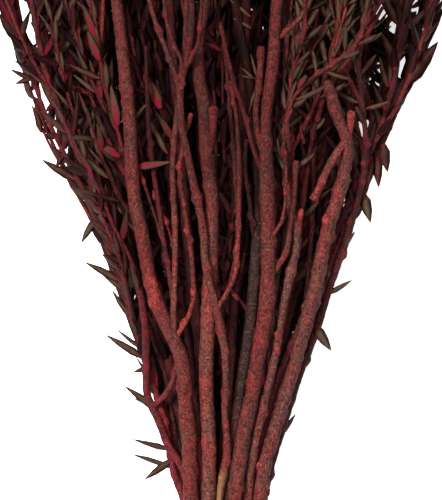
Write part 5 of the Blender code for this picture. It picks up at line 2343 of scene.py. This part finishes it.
@dataclass(frozen=True)
class Studio:
    """A pale floor, soft light from above and a camera that looks straight down.

    Attributes:
        floor_side: the floor's side, in metres.
        floor_points: how many points its grid has along a side.
        view_height: the height up the bunch that the camera centres on, in millimetres.
        view_depth: how far over the floor the view's scale holds, in millimetres.
        frame_long: the length that the view's long side covers there, in metres.
        lens: the focal length, in millimetres.
        sensor: the sensor's long side, in millimetres.
    """

    floor_side: float = 14.0
    floor_points: int = 21
    view_height: float = 200.0
    view_depth: float = 58.0
    frame_long: float = 0.2
    lens: float = 480.0
    sensor: float = 36.0

    def floor(self) -> None:
        """Lay the floor as a level grid just under the bunch, and stage it."""
        side = np.linspace(-0.5, 0.5, self.floor_points) * self.floor_side
        x, y = np.meshgrid(side, side, indexing="ij")
        points = np.stack([x, y, np.full_like(x, -0.02 * MM)], axis=-1).reshape(-1, 3)
        quads = grid_quads(self.floor_points, self.floor_points, loops=False, wraps=False)
        mesh = bpy.data.meshes.new("floor")
        mesh.from_pydata(points.tolist(), [], quads.tolist())
        mesh.materials.append(LightTable().material())
        put("floor", mesh)

    def lights(self) -> None:
        """Hang a soft box to the upper left and a larger one overhead, with a faint fill."""
        world = bpy.data.worlds.new("studio")
        bpy.context.scene.world = world
        world.use_nodes = True
        background = world.node_tree.nodes["Background"]
        background.inputs["Color"].default_value = WHITE
        background.inputs["Strength"].default_value = 0.05
        boxes = (("key", (-1.3, 0.8, 2.9), 0.9, 270.0), ("overhead", (0.05, 0.0, 3.3), 1.8, 90.0))
        for name, place, side, power in boxes:
            lamp = bpy.data.lights.new(name, "AREA")
            lamp.shape = "SQUARE"
            lamp.size = side
            lamp.energy = power
            made = put(name, lamp)
            made.location = place
            made.rotation_euler = made.location.to_track_quat("Z", "Y").to_euler()

    def camera(self, offset: Array) -> None:
        """Hang the camera over the bunch, looking straight down with the tips upward.

        Args:
            offset: from (x, height, z) to the frame's own place.
        """
        lens = bpy.data.cameras.new("camera")
        lens.lens = self.lens
        lens.sensor_width = self.sensor
        lens.clip_end = 50.0
        distance = self.frame_long * self.lens / self.sensor
        made = put("camera", lens)
        made.location = (offset[0] * MM, (self.view_height + offset[1]) * MM,
                         self.view_depth * MM + distance)
        bpy.context.scene.camera = made

    def build(self, offset: Array) -> None:
        """Set the whole studio up.

        Args:
            offset: from (x, height, z) to the frame's own place.
        """
        self.floor()
        self.lights()
        self.camera(offset)
        bpy.context.scene.view_settings.view_transform = "Standard"


def dress(skin: Skin, name: str, offset: Array, finish: bpy.types.Material, slot: str,
          *nodes: str) -> None:
    """Make a piece, attach it to the root body and hide the CAD nodes that it stands for.

    Args:
        skin: its mesh in the making.
        name: its name.
        offset: from (x, height, z) to the frame's own place.
        finish: its material.
        slot: the record's material slot; not used.
        nodes: the CAD nodes that it stands for.
    """
    piece = skin.make(name, offset, finish)
    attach(piece, "root")
    if nodes:
        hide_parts(*nodes)
    LOG.info("%s: %d faces", piece.name, len(piece.data.polygons))


def main() -> None:
    """Build the bunch and the studio."""
    logging.basicConfig(level=logging.INFO, format="%(message)s")
    layout = Layout(all_axes())
    band = RubberBand(layout)
    offset = np.array(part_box("tie_band")[0]) / MM - band.frame_corner()
    LOG.info("the layout lies %s mm from the frame's origin", np.round(offset, 3))
    low, high = (np.array(corner) / MM - offset for corner in CAD_BOX)
    growth = Growth(layout, Clearance(layout, low, high))
    branches = growth.branches()
    leaves = growth.leaves(branches)
    LOG.info("%d branches, %d leaves", len(branches), len(leaves.length))

    barks = {
        "bark": DyedBark("heath bark, burgundy dye", "#69322a", "#1c0b0a", "#4c302b", "#8c5c4e",
                         "#702324"),
        "dark_bark": DyedBark("smooth grey-black bark", "#281b18", "#150c0b", "#2a221e", "#584a44",
                              "#4c2220", roughness=0.74, relief=0.2, shine=0.04),
        "young_bark": DyedBark("young heath bark, crimson dye", "#52201f", "#160709", "#3c2423",
                               "#6a3e36", "#741c26", ember="#84302a"),
    }
    finishes = {slot: bark.material() for slot, bark in barks.items()}
    leaf = PreservedLeaf().material()
    for number, axis in enumerate((a for a in layout.axes if not a.stem), start=1):
        slot = "dark_bark" if axis.dark else "young_bark" if axis.foot < YOUNG_FOOT else "bark"
        own = [branch for branch in branches if branch.owner == axis.name]
        wood = StemWood(axis.name, own).build(SEED + number)
        dress(wood, f"{axis.name}_wood", offset, finishes[slot], slot, axis.name)
        chosen = leaves.take(leaves.owner == number)
        if len(chosen.length):
            dress(StemLeaves(chosen).build(), f"{axis.name}_leaves", offset, leaf, slot)
    plume = DyedPlume().material()
    headed = [axis for axis in layout.axes if axis.head]
    for number, axis in enumerate(headed, start=1):
        ends = np.array((axis.top, min(axis.top + HEAD_LENGTH, HEIGHTS[-1])))
        foot, end = layout.line(axis.name, ends)
        name = f"flower_head_{number:02d}"
        head = FlowerHead(foot + GAP * unit(end - foot), unit(end - foot))
        mesh = head.build(SEED + 100 + number)
        dress(mesh, f"{name}_plume", offset, plume, "plume", name)
    rubber = LatexRubber().material()
    dress(band.build(), "tie_band_rubber", offset, rubber, "rubber_band", "tie_band")
    Studio().build(offset)


if __name__ == "__main__":
    main()
